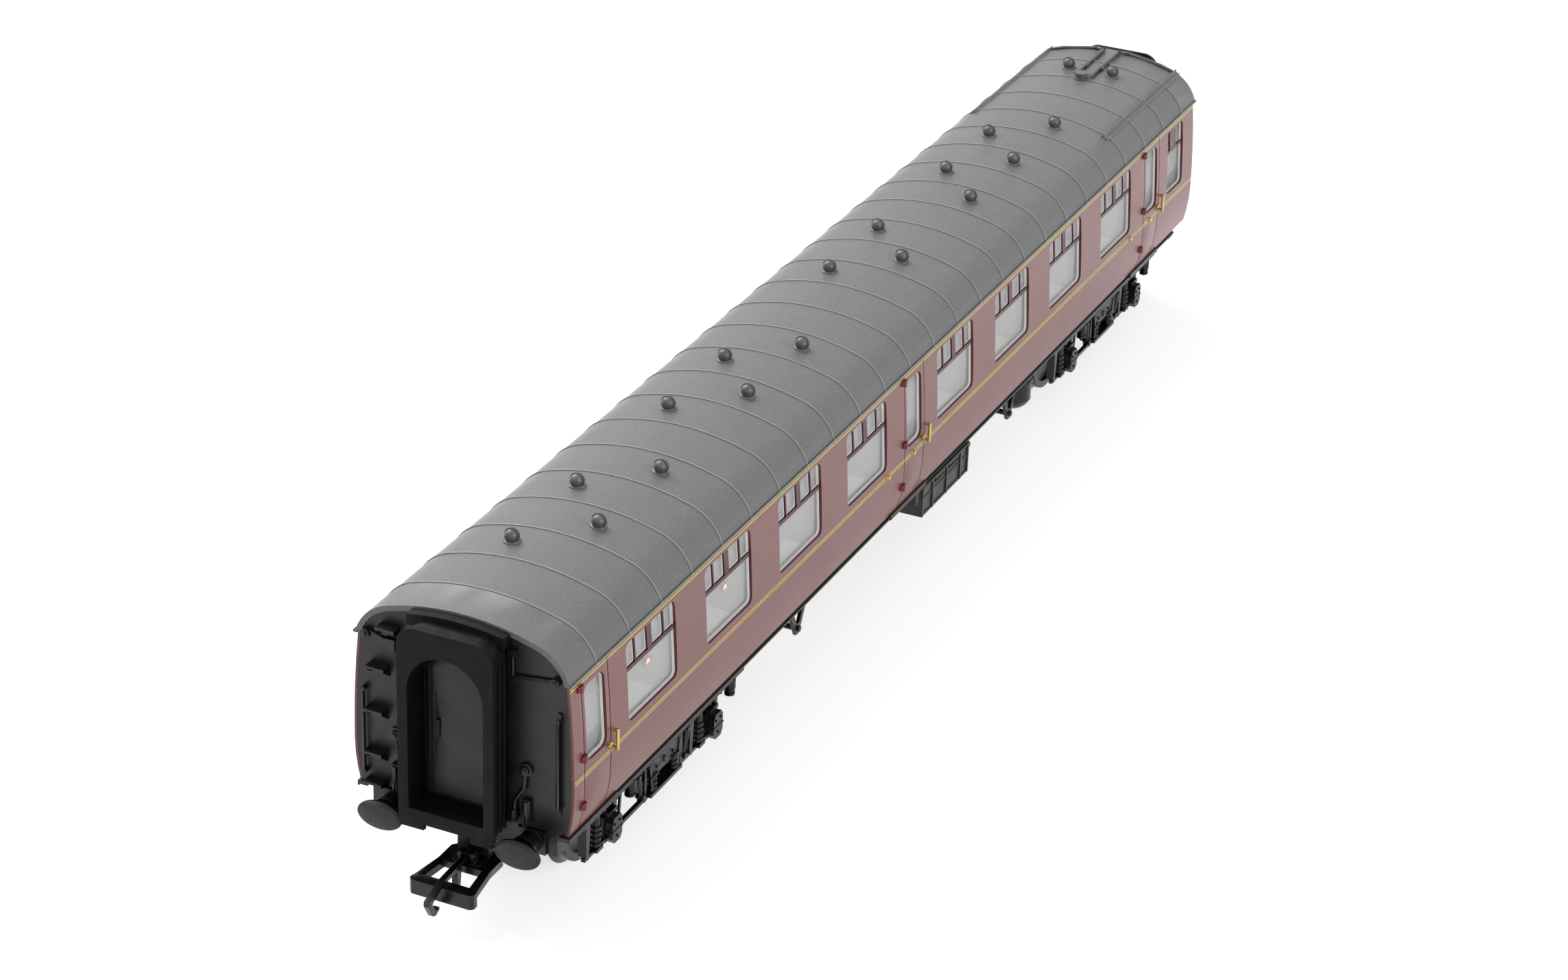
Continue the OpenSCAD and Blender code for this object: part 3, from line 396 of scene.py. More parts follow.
@dataclass(frozen=True)
class RoofPaint(Finish):
    """Matt roof paint with a painted highlight: lighter along the raised ribs' crests, where
    they catch the light.
    """

    rib_pitch_mm: float = 10.12
    rib_width_mm: float = 0.34
    # Painted highlight colour of the rib crests.
    rib_highlight: str = "#9a9c9e"

    def paint(
        self, tree: bpy.types.NodeTree, place: bpy.types.Node
    ) -> bpy.types.NodeSocket:
        """Colour of the base finish, with a painted highlight on the ribs' crests.

        Args:
            tree: The material's tree.
            place: The texture coordinate node.

        Returns:
            The socket that carries the colour.
        """
        made = super().paint(tree, place)
        along = add(tree, "ShaderNodeSeparateXYZ", links={0: place.outputs["Object"]})
        away = add(
            tree,
            "ShaderNodeMath",
            {1: self.rib_pitch_mm * MM / 2},
            {0: along.outputs[0]},
            operation="PINGPONG",
        )
        # Painted highlight: a band along each rib's crest is mixed towards the lighter grey.
        crest = add(
            tree,
            "ShaderNodeMapRange",
            {
                "From Min": self.rib_width_mm * 0.2 * MM,
                "From Max": self.rib_width_mm * 0.5 * MM,
                "To Min": 0.7,
                "To Max": 0.0,
            },
            {"Value": away.outputs[0]},
        )
        mixed = add(
            tree,
            "ShaderNodeMix",
            {7: linear(self.rib_highlight)},
            {0: crest.outputs[0], 6: made},
            data_type="RGBA",
        )
        return mixed.outputs[2]


@dataclass(frozen=True)
class TurnedWheel(Finish):
    """Blackened wheel with a tread, flange and axle end worn bright, turned on a lathe."""

    centre_mm: tuple[float, float] = (0.0, 7.95)
    bright: str = "#3c3d3f"
    web_mm: float = 5.75
    groove_mm: float = 0.16

    def radius(
        self, tree: bpy.types.NodeTree, place: bpy.types.Node
    ) -> bpy.types.NodeSocket:
        """Distance of each point from the axle's own line.

        Args:
            tree: The material's tree.
            place: The texture coordinate node.

        Returns:
            The socket that carries the distance, in metres.
        """
        flat = add(
            tree,
            "ShaderNodeVectorMath",
            {1: (1.0, 0.0, 1.0)},
            {0: place.outputs["Object"]},
            operation="MULTIPLY",
        )
        made = add(
            tree,
            "ShaderNodeVectorMath",
            {1: (self.centre_mm[0] * MM, 0.0, self.centre_mm[1] * MM)},
            {0: flat.outputs[0]},
            operation="DISTANCE",
        )
        return made.outputs[1]

    def paint(
        self, tree: bpy.types.NodeTree, place: bpy.types.Node
    ) -> bpy.types.NodeSocket:
        """Rubbed tyre and flange round a blackened web.

        Args:
            tree: The material's tree.
            place: The texture coordinate node.

        Returns:
            The socket that carries the colour.
        """
        made = super().paint(tree, place)
        rim = add(
            tree,
            "ShaderNodeMapRange",
            {"From Min": self.web_mm * MM, "From Max": (self.web_mm + 0.15) * MM},
            {"Value": self.radius(tree, place)},
        )
        mixed = add(
            tree,
            "ShaderNodeMix",
            {7: linear(self.bright)},
            {0: rim.outputs[0], 6: made},
            data_type="RGBA",
        )
        return mixed.outputs[2]

    def relief(
        self, tree: bpy.types.NodeTree, place: bpy.types.Node
    ) -> bpy.types.NodeSocket:
        """Fine rings that the lathe tool left.

        Args:
            tree: The material's tree.
            place: The texture coordinate node.

        Returns:
            The socket that carries the normal.
        """
        rings = add(
            tree,
            "ShaderNodeMath",
            {1: FULL_TURN / (self.groove_mm * MM)},
            {0: self.radius(tree, place)},
            operation="MULTIPLY",
        )
        wave = add(
            tree, "ShaderNodeMath", links={0: rings.outputs[0]}, operation="SINE"
        )
        made = add(
            tree,
            "ShaderNodeBump",
            {"Strength": 0.6, "Distance": 0.002 * MM},
            {"Height": wave.outputs[0]},
        )
        return made.outputs[0]


# Satin cellulose-type paint on styrene: soft broad highlights with a fine fleck.
# This paint carries painted shade in its reveals and cuts.
MAROON = SidePaint(
    "satin_maroon_sprayed_paint",
    "#6a3632",
    0.42,
    wear=Wear.SPRAYED,
    shift=0.05,
    patch_mm=22,
    grain_mm=0.2,
    grain_height_mm=0.012,
    speck=0.09,
    fleck="#8e625e",
    gloss_change=0.02,
    dust="#a58380",
    dust_amount=0.08,
    coat=0.3,
    coat_roughness=0.35,
)
# The same paint on small mouldings, darker: the darker colour is painted shade.
SHADED_MAROON = Finish(
    "maroon_paint_painted_shade",
    "#43121a",
    0.36,
    wear=Wear.SPRAYED,
    patch_mm=5,
    grain_mm=0.5,
    grain_height_mm=0.004,
    specular=0.4,
)
# The maroon on the door hinges, darker and redder than the sides, and glossier: the darker,
# redder tone is painted shade.
SHADED_HINGE_MAROON = Finish(
    "hinge_maroon_painted_shade",
    "#6b1d26",
    0.28,
    wear=Wear.SPRAYED,
    patch_mm=3,
    grain_mm=0.4,
    grain_height_mm=0.006,
)
# Matt grey roof paint over a fine spark-eroded mould surface.
# Its rib crests carry a painted highlight.
ROOF_GREY = RoofPaint(
    "satin_grey_roof_paint",
    "#606060",
    0.4,
    wear=Wear.SPRAYED,
    shift=0.02,
    patch_mm=30,
    grain_mm=0.24,
    grain_height_mm=0.02,
    speck=0.14,
    gloss_change=0.03,
    dust="#7c7d7e",
    dust_amount=0.12,
)
# The roof paint on small mouldings, where edges catch more light.
FITTING_GREY = Finish(
    "satin_grey_fitting_paint",
    "#4c4d4e",
    0.38,
    wear=Wear.SPRAYED,
    shift=0.06,
    patch_mm=3,
    grain_mm=0.35,
    dust="#8d8f90",
    dust_amount=0.25,
)
# Black satin paint on the coach ends, dry-sprayed so that it looks faintly sandy.
END_BLACK = Finish(
    "satin_black_sprayed_paint",
    "#09090a",
    0.4,
    wear=Wear.SPRAYED,
    shift=0.12,
    patch_mm=9,
    grain_mm=0.24,
    grain_height_mm=0.022,
    speck=0.2,
    dust="#1c1d1e",
    dust_amount=0.12,
    specular=0.42,
)
# Self-coloured black styrene, with the dull bloom of a spark-eroded mould.
BLACK_STYRENE = Finish(
    "black_moulded_styrene",
    "#070708",
    0.36,
    shift=0.15,
    patch_mm=4,
    grain_mm=0.3,
    grain_height_mm=0.012,
    speck=0.08,
    dust="#1c1d1e",
    dust_amount=0.15,
    specular=0.42,
)
# Flexible black gangway moulding: its dead matt skin hardly shines at all.
BELLOWS_BLACK = Finish(
    "matt_black_flexible_vinyl",
    "#030303",
    0.6,
    shift=0.15,
    patch_mm=5,
    grain_mm=0.34,
    grain_height_mm=0.02,
    speck=0.08,
    specular=0.16,
)
# Acetal mouldings are waxier and take a rounder highlight.
BLACK_ACETAL = Finish(
    "black_moulded_acetal",
    "#070708",
    0.28,
    ior=1.48,
    shift=0.12,
    patch_mm=5,
    grain_mm=0.5,
    grain_height_mm=0.014,
    speck=0.05,
    specular=0.42,
)
# Self-coloured grey styrene of the battery boxes, left unpainted.
GREY_STYRENE = Finish(
    "dark_grey_moulded_styrene",
    "#212223",
    0.44,
    shift=0.08,
    patch_mm=6,
    grain_mm=0.35,
    grain_height_mm=0.006,
    dust="#55575a",
    dust_amount=0.25,
)
# Clear styrene reads as pale grey because it throws back its white surroundings.
GLAZING = Finish(
    "clear_moulded_styrene",
    "#fbfcfc",
    0.12,
    ior=1.59,
    shift=0.01,
    patch_mm=8,
    grain_mm=2.5,
    grain_height_mm=0.01,
    speck=0.0,
    gloss_change=0.05,
    alpha=0.27,
)
# Painted highlight: the white glint on the clear glazing's edges round the window panes, drawn
# as a thin white line.
GLAZING_EDGE_GLINT = Finish(
    "glazing_edge_painted_glint",
    "#e4e5e5",
    0.25,
    wear=Wear.PRINTED,
    patch_mm=3,
    grain_mm=0.6,
    grain_height_mm=0.004,
    speck=0.0,
)
# Pad-printed gold lining: an opaque warm yellow with a slight metallic sheen.
GOLD_LINE = Finish(
    "gold_pad_print",
    "#e3cf6b",
    0.4,
    metallic=0.15,
    wear=Wear.PRINTED,
    patch_mm=6,
    shift=0.05,
    speck=0.0,
    grain_height_mm=0.001,
)
# Pad-printed black edge of the lining, dead flat beside the gold.
BLACK_LINE = Finish(
    "black_pad_print",
    "#1a120e",
    0.45,
    wear=Wear.PRINTED,
    patch_mm=6,
    speck=0.0,
    grain_height_mm=0.001,
)
# Brass-coloured metallic paint on fine wire handles.
BRASS = Finish(
    "brass_painted_wire",
    "#c2ab68",
    0.3,
    metallic=0.8,
    wear=Wear.SPRAYED,
    patch_mm=2,
    shift=0.1,
    grain_mm=0.25,
    grain_height_mm=0.004,
)
# Unpainted off-white styrene of the one-piece interior.
INTERIOR = Finish(
    "off_white_moulded_styrene",
    "#fbfaf7",
    0.55,
    shift=0.03,
    patch_mm=12,
    grain_mm=0.5,
    speck=0.0,
)
# The seats' own moulding, whiter, with a spark texture that stands for cloth.
SEAT_WHITE = Finish(
    "white_moulded_styrene",
    "#fbfaf8",
    0.6,
    shift=0.03,
    patch_mm=6,
    grain_mm=0.35,
    grain_height_mm=0.01,
    speck=0.0,
)
# Pad-printed red and white of the window triangles, opaque and flat.
RED_PRINT = Finish(
    "red_pad_print",
    "#d0574e",
    0.45,
    wear=Wear.PRINTED,
    speck=0.0,
    grain_height_mm=0.001,
)
WHITE_PRINT = Finish(
    "white_pad_print",
    "#f0ecea",
    0.5,
    wear=Wear.PRINTED,
    speck=0.0,
    grain_height_mm=0.001,
)


# ---------------------------------------------------------------- pieces


def smooth(mesh: bpy.types.Mesh, angle: float) -> None:
    """Shade a mesh smooth, with hard edges where it turns by more than angle."""
    mesh.shade_smooth()
    mesh.set_sharp_from_angle(angle=math.radians(angle))


def publish(
    shape: bmesh.types.BMesh,
    name: str,
    finish: Finish,
    body: str,
    replaces: Sequence[str] = (),
    angle: float = 38.0,
) -> bpy.types.Object:
    """Turn a shape drawn in millimetres into a finished piece on a body.

    Args:
        shape: The bmesh, which is freed.
        name: Name of the piece.
        finish: Its surface.
        body: The CAD body that it rides on.
        replaces: CAD nodes that it stands for.
        angle: Turns sharper than this keep a hard edge.

    Returns:
        The piece's object.
    """
    bmesh.ops.remove_doubles(shape, verts=shape.verts, dist=0.0005)
    bmesh.ops.recalc_face_normals(shape, faces=shape.faces)
    bmesh.ops.scale(shape, vec=(MM, MM, MM), verts=shape.verts)
    mesh = bpy.data.meshes.new(name)
    shape.to_mesh(mesh)
    count = len(shape.faces)
    shape.free()
    smooth(mesh, angle)
    made = bpy.data.objects.new(name, mesh)
    bpy.context.scene.collection.objects.link(made)
    mesh.materials.append(finish.build())
    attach(made, body)
    if replaces:
        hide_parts(*replaces)
    log.info("%s: %d faces, %s, rides on %s", name, count, finish.name, body)
    return made


def soften(
    node: str,
    finish: Finish,
    radius_mm: float = 0.07,
    angle: float = 40.0,
    merge_mm: float = 0.002,
    split: bool = False,
    cuts: Sequence[tuple[int, float]] = (),
) -> bpy.types.Object:
    """Stand in for a CAD node with the same shape and moulded, rounded edges.

    Args:
        node: The CAD node.
        finish: Its surface.
        radius_mm: Radius of the edges.
        angle: Edges that turn by more than this are rounded.
        merge_mm: Corners nearer than this become one.
        split: Cut wide faces into triangles before the edges are rounded, so
            that none folds over where its details stand close together.
        cuts: Axis number and level of planes that divide the widest faces.

    Returns:
        The piece's object.
    """
    shape = bmesh.new()
    shape.from_mesh(frame["nodes"][node].data)
    bmesh.ops.remove_doubles(shape, verts=shape.verts, dist=merge_mm * MM)
    bmesh.ops.dissolve_limit(
        shape, angle_limit=math.radians(COPLANAR_DEGREES), verts=shape.verts, edges=shape.edges
    )
    for axis, level in cuts:
        normal = Vector([float(i == axis) for i in range(3)])
        bmesh.ops.bisect_plane(
            shape,
            geom=[*shape.verts, *shape.edges, *shape.faces],
            dist=CUT_TOLERANCE,
            plane_co=normal * level * MM,
            plane_no=normal,
        )
    if split:
        wide = [face for face in shape.faces if len(face.verts) > 4]
        bmesh.ops.triangulate(shape, faces=wide)
    mesh = bpy.data.meshes.new(node + "_moulded")
    shape.to_mesh(mesh)
    count = len(shape.faces)
    shape.free()
    smooth(mesh, angle)
    made = bpy.data.objects.new(node + "_moulded", mesh)
    bpy.context.scene.collection.objects.link(made)
    mesh.materials.append(finish.build())
    if radius_mm > 0:
        edge = made.modifiers.new("moulded_edge", "BEVEL")
        edge.limit_method = "ANGLE"
        edge.angle_limit = math.radians(angle)
        edge.width = radius_mm * MM
        edge.segments = 2
        edge.profile = 0.5
        edge.use_clamp_overlap = False
        edge.harden_normals = True
        edge.miter_outer = "MITER_ARC"
    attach(made, BODY_OF[node])
    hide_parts(node)
    log.info("%s: %d faces, %s, softened", made.name, count, finish.name)
    return made


def dress(node: str, finish: Finish) -> None:
    """Give a CAD node whose crisp facets are already right its surface.

    Args:
        node: The CAD node.
        finish: Its surface.
    """
    surface = finish.build()
    for place in frame["nodes"][node].material_slots:
        place.material = surface
    log.info("%s: kept as drawn, %s", node, finish.name)


def copies(shape: bmesh.types.BMesh, places: Sequence[Matrix]) -> None:
    """Repeat a shape at each place, and drop the first one drawn.

    Args:
        shape: A bmesh that holds one item at the origin.
        places: Where each copy goes.
    """
    first = list(shape.verts) + list(shape.edges) + list(shape.faces)
    for place in places:
        made = bmesh.ops.duplicate(shape, geom=first)["geom"]
        corners = [g for g in made if isinstance(g, bmesh.types.BMVert)]
        bmesh.ops.transform(shape, matrix=place, verts=corners)
    bmesh.ops.delete(
        shape, geom=[g for g in first if isinstance(g, bmesh.types.BMVert)], context="VERTS"
    )


def lathe(
    shape: bmesh.types.BMesh,
    profile: Sequence[tuple[float, float]],
    axis: Vector,
    steps: int = 24,
) -> list[bmesh.types.BMVert]:
    """Spin a profile of (distance along axis, radius) points into a round form.

    Args:
        shape: The bmesh it is added to.
        profile: Points from one end to the other.
        axis: Unit axis through the origin.
        steps: Faces round the form.

    Returns:
        The vertices it added.
    """
    out = axis.orthogonal().normalized()
    dots = [shape.verts.new(axis * along + out * far) for along, far in profile]
    line = [shape.edges.new(pair) for pair in zip(dots, dots[1:])]
    before = set(shape.verts) - set(dots)
    bmesh.ops.spin(
        shape,
        geom=dots + line,
        cent=(0, 0, 0),
        axis=axis,
        angle=FULL_TURN,
        steps=steps,
        use_merge=True,
    )
    made = [v for v in shape.verts if v not in before]
    bmesh.ops.remove_doubles(shape, verts=made, dist=1e-4)
    return [v for v in shape.verts if v not in before]


def slab(
    shape: bmesh.types.BMesh,
    low: Sequence[float],
    high: Sequence[float],
    radius: float = 0.0,
) -> list[bmesh.types.BMVert]:
    """Add a box between two corners, with rounded edges.

    Args:
        shape: The bmesh it is added to.
        low: Lowest corner.
        high: Highest corner.
        radius: Radius of its edges.

    Returns:
        The vertices it added.
    """
    size = [h - l for l, h in zip(low, high)]
    place = Matrix.Translation([(h + l) / 2 for l, h in zip(low, high)])
    made = bmesh.ops.create_cube(
        shape, size=1.0, matrix=place @ Matrix.Diagonal((*size, 1.0))
    )["verts"]
    if radius <= 0:
        return made
    edges = {e for v in made for e in v.link_edges}
    done = bmesh.ops.bevel(
        shape,
        geom=list(edges),
        offset=radius,
        offset_type="OFFSET",
        affect="EDGES",
        segments=3,
        profile=0.5,
        material=-1,
    )
    return list({v for f in done["faces"] for v in f.verts})


@dataclass(frozen=True)
class Shell:
    """The outer skin of the body that the painted glints and lines sit on, in millimetres."""

    half_length: float = 129.0
    half_width: float = 18.0
    waist: float = 23.7
    eaves: float = 41.4
    lower_radius: float = 28.8
    upper_radius: float = 166.0
    roof_radius: float = 40.0
    door_width: float = 8.05
    window_width: float = 15.7
    sill: float = 27.15
    head: float = 39.82
    transom: float = 35.45
    reveal: float = 0.62
    corner: float = 1.1
    lavatory_x: float = 114.56
    lavatory_width: float = 8.49
    door_from_end: float = 3.15
    period_share: float = 0.44109
    first_bay_share: float = 0.12012
    bay_share: float = 0.22557
    # What a door's window adds to the door's own left, right, sill, head, corner.
    door_light: tuple[float, float, float, float, float] = (0.75, -1.15, 0.2, -0.35, 0.3)

    def skin(self, z: float) -> float:
        """Half width of the body at level z."""
        r = self.lower_radius if z < self.waist else self.upper_radius
        return self.half_width - r + math.sqrt(r * r - (z - self.waist) ** 2)

    def period(self) -> float:
        """Distance from one door to the next."""
        return self.half_length * 2 * self.period_share

    def doors(self) -> list[float]:
        """Where the left edge of each door is."""
        first = self.door_from_end - self.half_length
        return [first + i * self.period() for i in range(3)]

    def bays(self) -> list[float]:
        """Where the middle of each saloon window is.

        Returns:
            Places along the coach, in millimetres from its middle.
        """
        period = self.period()
        first = period * self.first_bay_share + self.window_width / 2
        pitch = period * self.bay_share
        return [x + first + k * pitch for x in self.doors()[:2] for k in range(4)]

    def openings(self) -> list[tuple[float, float, float, float, float]]:
        """Outline of every window: saloon, lavatory, then the doors'.

        Returns:
            Each as left, right, sill, head and corner radius.
        """
        half = self.window_width / 2
        spans = [(x - half, x + half) for x in self.bays()]
        spans.append((self.lavatory_x, self.lavatory_x + self.lavatory_width))
        made = [(a, b, self.sill, self.head, self.corner) for a, b in spans]
        for x in self.doors():
            outline = (x, x + self.door_width, self.sill, self.head, self.corner)
            made.append(tuple(a + b for a, b in zip(outline, self.door_light)))
        return made

    def lay(self, shape: bmesh.types.BMesh, side: Side, depth: float) -> None:
        """Wrap a shape drawn flat in XZ, with its thickness along Y, on a side.

        Args:
            shape: Drawn with Y = 0 on its back and growing outwards.
            side: Which side it goes on.
            depth: How far its back lies behind the skin.
        """
        for v in shape.verts:
            v.co.y = side.value * (self.skin(v.co.z) - depth + v.co.y)


@dataclass
class Sides:
    """The two painted sides with their lining, painted glints round the panes, and door
    fittings.
    """

    shell: Shell
    waist_lines: tuple[float, float] = (25.44, 25.84)
    cantrail_lines: tuple[float, float] = (40.46, 40.82)
    line_width: float = 0.16
    lift: float = 0.02
    strip_depth: float = 0.03
    door_gap: float = 0.1
    end_gap: float = 0.05
    pane_lift: float = 0.02
    cut_beside: float = 1.6
    cut_levels: tuple[float, float, float] = (0.6, 2.3, 0.35)
    # Inset, band and height of each painted glint ring.
    glint_rings_mm: tuple[tuple[float, float, float], ...] = (
        (0.06, 0.13, 0.26),
        (0.34, 0.1, 0.12),
    )
    lights: tuple[tuple[float, float], ...] = (
        (-7.4, -4.85),
        (-4.25, -0.9),
        (0.9, 4.25),
        (4.85, 7.4),
    )
    light_rise: float = 0.42
    light_drop: float = 0.35
    light_corner: float = 0.35
    light_band: float = 0.13
    light_height: float = 0.12
    triangle_at: tuple[float, float] = (-0.3, 33.5)
    triangle_scale: tuple[float, float] = (1.3, 0.8)

    def build(self) -> None:
        """Dress both sides."""
        for node in ("side_left", "side_right"):
            soften(node, MAROON, 0.03, cuts=self.divisions())
        # The door hinges take a darker, redder copy of the maroon: painted shade.
        soften("door_hinges", SHADED_HINGE_MAROON, 0.05)
        # The window bars take the darker copy of the maroon: painted shade.
        soften("window_bars", SHADED_MAROON, 0.018)
        soften("door_handles", BRASS, 0.025)
        soften("glazing", GLAZING, 0.0, 30)
        for side in Side:
            self.lining(side)
            # White rings round the panes and sliding lights are painted glints on the
            # glazing's edges.
            self.pane_glints(side)
            self.slide_glints(side)
        self.triangles(Side.LEFT)

    def divisions(self) -> list[tuple[int, float]]:
        """Planes that divide the sheet between its details before it is softened.

        Returns:
            Axis number and level: through each opening's middle and beside it,
            and above, below and across all of them.
        """
        s = self.shell
        beside = self.cut_beside
        across = [
            x for x0, x1, *_ in s.openings() for x in (x0 - beside, (x0 + x1) / 2, x1 + beside)
        ]
        under, low, over = self.cut_levels
        levels = (s.sill - under, s.sill - low, (s.sill + s.head) / 2, s.head + over)
        return [(0, x) for x in across] + [(2, z) for z in levels]

    def strip(
        self, shape: bmesh.types.BMesh, x0: float, x1: float, z0: float, z1: float
    ) -> None:
        """Add a thin printed strip, its back at Y = 0."""
        slab(shape, (x0, 0, z0), (x1, self.strip_depth, z1))

    def runs(self) -> list[tuple[float, float]]:
        """Stretches of side between the door cuts.

        Returns:
            Each stretch's start and end along the coach.
        """
        s = self.shell
        cuts = sorted(x + e for x in s.doors() for e in (0, s.door_width))
        ends = [-s.half_length + self.end_gap, *cuts, s.half_length - self.end_gap]
        return [(a + self.door_gap, b - self.door_gap) for a, b in zip(ends, ends[1:])]

    def lining(self, side: Side) -> None:
        """Gold lines in pairs at the waist and the eaves, with black between each pair.

        Args:
            side: Which side they go on.
        """
        half = self.line_width / 2
        pairs = (self.waist_lines, self.cantrail_lines)
        gold = [(z - half, z + half) for pair in pairs for z in pair]
        black = [(low + half, high - half) for low, high in pairs]
        for name, finish, bands in (
            ("gold_lining", GOLD_LINE, gold),
            ("black_lining", BLACK_LINE, black),
        ):
            shape = bmesh.new()
            for a, b in self.runs():
                for z0, z1 in bands:
                    self.strip(shape, a, b, z0, z1)
            self.shell.lay(shape, side, self.strip_depth - self.lift)
            publish(
                shape,
                f"{name}_{side.name.lower()}",
                finish,
                BODY,
            )

    def ring(
        self,
        shape: bmesh.types.BMesh,
        opening: tuple[float, float, float, float, float],
        inset: float,
        band: float,
        height: float,
    ) -> None:
        """Add a rounded frame that follows an opening's outline.

        Args:
            shape: The bmesh it is added to.
            opening: Left, right, sill, head and corner radius.
            inset: Gap between the opening's edge and the frame.
            band: Width of the frame.
            height: How far it stands out of the pane.
        """
        x0, x1, z0, z1, r = opening
        w, h = x1 - x0 - 2 * inset, z1 - z0 - 2 * inset
        place = (
            Matrix.Translation(((x0 + x1) / 2, 0, (z0 + z1) / 2))
            @ Matrix.Rotation(math.radians(90), 4, "X")
            @ Matrix.Diagonal((w, h, 1, 1))
        )
        before = set(shape.faces)
        sheet = bmesh.ops.create_grid(
            shape, x_segments=1, y_segments=1, size=0.5, matrix=place
        )["verts"]
        bmesh.ops.bevel(
            shape,
            geom=sheet,
            offset=max(0.2, r - inset),
            offset_type="OFFSET",
            affect="VERTICES",
            segments=5,
            profile=0.5,
            material=-1,
        )
        face = next(f for f in shape.faces if f not in before)
        rim = bmesh.ops.inset_region(
            shape, faces=[face], thickness=band, use_boundary=True, use_even_offset=True
        )["faces"]
        bmesh.ops.delete(shape, geom=[face], context="FACES_ONLY")
        out = bmesh.ops.extrude_face_region(shape, geom=rim)["geom"]
        tops = [g for g in out if isinstance(g, bmesh.types.BMVert)]
        bmesh.ops.translate(shape, vec=(0, height, 0), verts=tops)

    def pane_glints(self, side: Side) -> None:
        """Painted highlights round every pane, in two fine steps: white rings for the glints
        on the glazing's edges.

        Args:
            side: Which side they go on.
        """
        shape = bmesh.new()
        for opening in self.shell.openings():
            for inset, band, height in self.glint_rings_mm:
                self.ring(shape, opening, inset, band, height)
        self.shell.lay(shape, side, self.shell.reveal + self.pane_lift)
        made = publish(
            shape,
            f"window_trims_{side.name.lower()}",
            GLAZING_EDGE_GLINT,
            BODY,
            angle=30,
        )
        self.round_edges(made)

    def slide_glints(self, side: Side) -> None:
        """Painted highlights: thin white rings for the glints on the edges of the sliding
        lights above each transom.

        Args:
            side: Which side they go on.
        """
        shape = bmesh.new()
        s = self.shell
        low, high = s.transom + self.light_rise, s.head - self.light_drop
        for x in s.bays():
            for a, b in self.lights:
                light = (x + a, x + b, low, high, self.light_corner)
                self.ring(shape, light, 0.0, self.light_band, self.light_height)
        s.lay(shape, side, s.reveal + self.pane_lift)
        publish(
            shape,
            f"sliding_lights_{side.name.lower()}",
            GLAZING_EDGE_GLINT,
            BODY,
            angle=30,
        )

    def round_edges(self, made: bpy.types.Object) -> None:
        """Give a painted glint ring a fine rounded edge.

        Args:
            made: The trim's object.
        """
        edge = made.modifiers.new("rolled_edge", "BEVEL")
        edge.limit_method = "ANGLE"
        edge.width = 0.03 * MM
        edge.segments = 2

    def triangles(self, side: Side) -> None:
        """Plain blank triangles printed in the first two windows.

        Args:
            side: Which side they go on.
        """
        s = self.shell
        shift, level = self.triangle_at
        wide, tall = self.triangle_scale
        for name, finish, size, lift in (
            ("triangle_edges", RED_PRINT, 1.1, 0.0),
            ("triangle_fields", WHITE_PRINT, 0.82, 0.01),
        ):
            shape = bmesh.new()
            for x in s.bays()[:2]:
                place = (
                    Matrix.Translation((x + shift, 0, level))
                    @ Matrix.Diagonal((wide, 1, tall, 1))
                    @ Matrix.Rotation(math.radians(90), 4, "X")
                )
                bmesh.ops.create_circle(
                    shape, cap_ends=True, segments=3, radius=size, matrix=place
                )
            out = bmesh.ops.extrude_face_region(shape, geom=shape.faces[:])["geom"]
            tops = [g for g in out if isinstance(g, bmesh.types.BMVert)]
            bmesh.ops.translate(shape, vec=(0, 0.02, 0), verts=tops)
            s.lay(shape, side, s.reveal - lift)
            publish(shape, name, finish, BODY)


@dataclass
class Roof:
    """The ribbed roof with its ventilators, filler and pipes."""

    shell: Shell
    vent_y: float = 4.4
    vent_rows: tuple[tuple[float, int], ...] = (
        (-10.5, 1),
        (-9.5, -1),
        (-8.5, 1),
        (-7.5, -1),
        (-5.5, 1),
        (-4.5, -1),
        (-3.5, 1),
        (-2.5, -1),
        (0.5, 1),
        (1.5, -1),
        (2.5, 1),
        (4.5, -1),
        (5.5, 1),
        (6.5, -1),
        (7.5, 1),
        (8.5, -1),
        (11.5, 1),
        (11.5, -1),
    )
    vent_tilt: float = 6.0
    rib_pitch: float = 10.12
    crown: float = 48.87

    def build(self) -> None:
        """Dress the roof."""
        soften("roof", ROOF_GREY, 0.05, 25, 0.012)
        soften("roof_pipes", FITTING_GREY, 0.04)
        self.ventilators()

    def level(self, y: float) -> float:
        """Height of the roof's skin at y, within its middle arc."""
        r = self.shell.roof_radius
        return self.crown - r + math.sqrt(r * r - y * y)

    def ventilators(self) -> None:
        """Shell ventilators: a domed hood, its hoop and a scooped mouth."""
        shape = bmesh.new()
        hood = [
            (-1.22, 0.0),
            (-1.2, 0.3),
            (-1.08, 0.62),
            (-0.85, 0.86),
            (-0.5, 1.0),
            (-0.12, 1.04),
            (-0.1, 1.2),
            (0.3, 1.2),
            (0.33, 1.02),
            (0.36, 0.98),
            (0.3, 0.86),
            (0.16, 0.6),
            (0.12, 0.3),
            (0.1, 0.0),
        ]
        made = lathe(shape, hood, Vector((1, 0, 0)), 28)
        bmesh.ops.translate(shape, vec=(0, 0, 0.92), verts=made)
        cheek = [(0.1, 0.0), (0.4, 0.3), (0.72, 0.42), (1.0, 0.36), (1.12, 0.0)]
        made = lathe(shape, cheek, Vector((1, 0, 0)), 18)
        bmesh.ops.translate(shape, vec=(0, 0, 0.5), verts=made)
        flange = [(-0.3, 0.0), (-0.3, 1.36), (0.1, 1.36), (0.2, 1.26), (0.22, 0.0)]
        lathe(shape, flange, Vector((0, 0, 1)), 28)
        places = []
        for row, sign in self.vent_rows:
            y = sign * self.vent_y
            places.append(
                Matrix.Translation((row * self.rib_pitch, y, self.level(y) + 0.02))
                @ Matrix.Rotation(math.radians(-self.vent_tilt * sign), 4, "X")
            )
        copies(shape, places)
        publish(
            shape,
            "roof_ventilators",
            FITTING_GREY,
            BODY,
            ["roof_vents"],
            50,
        )


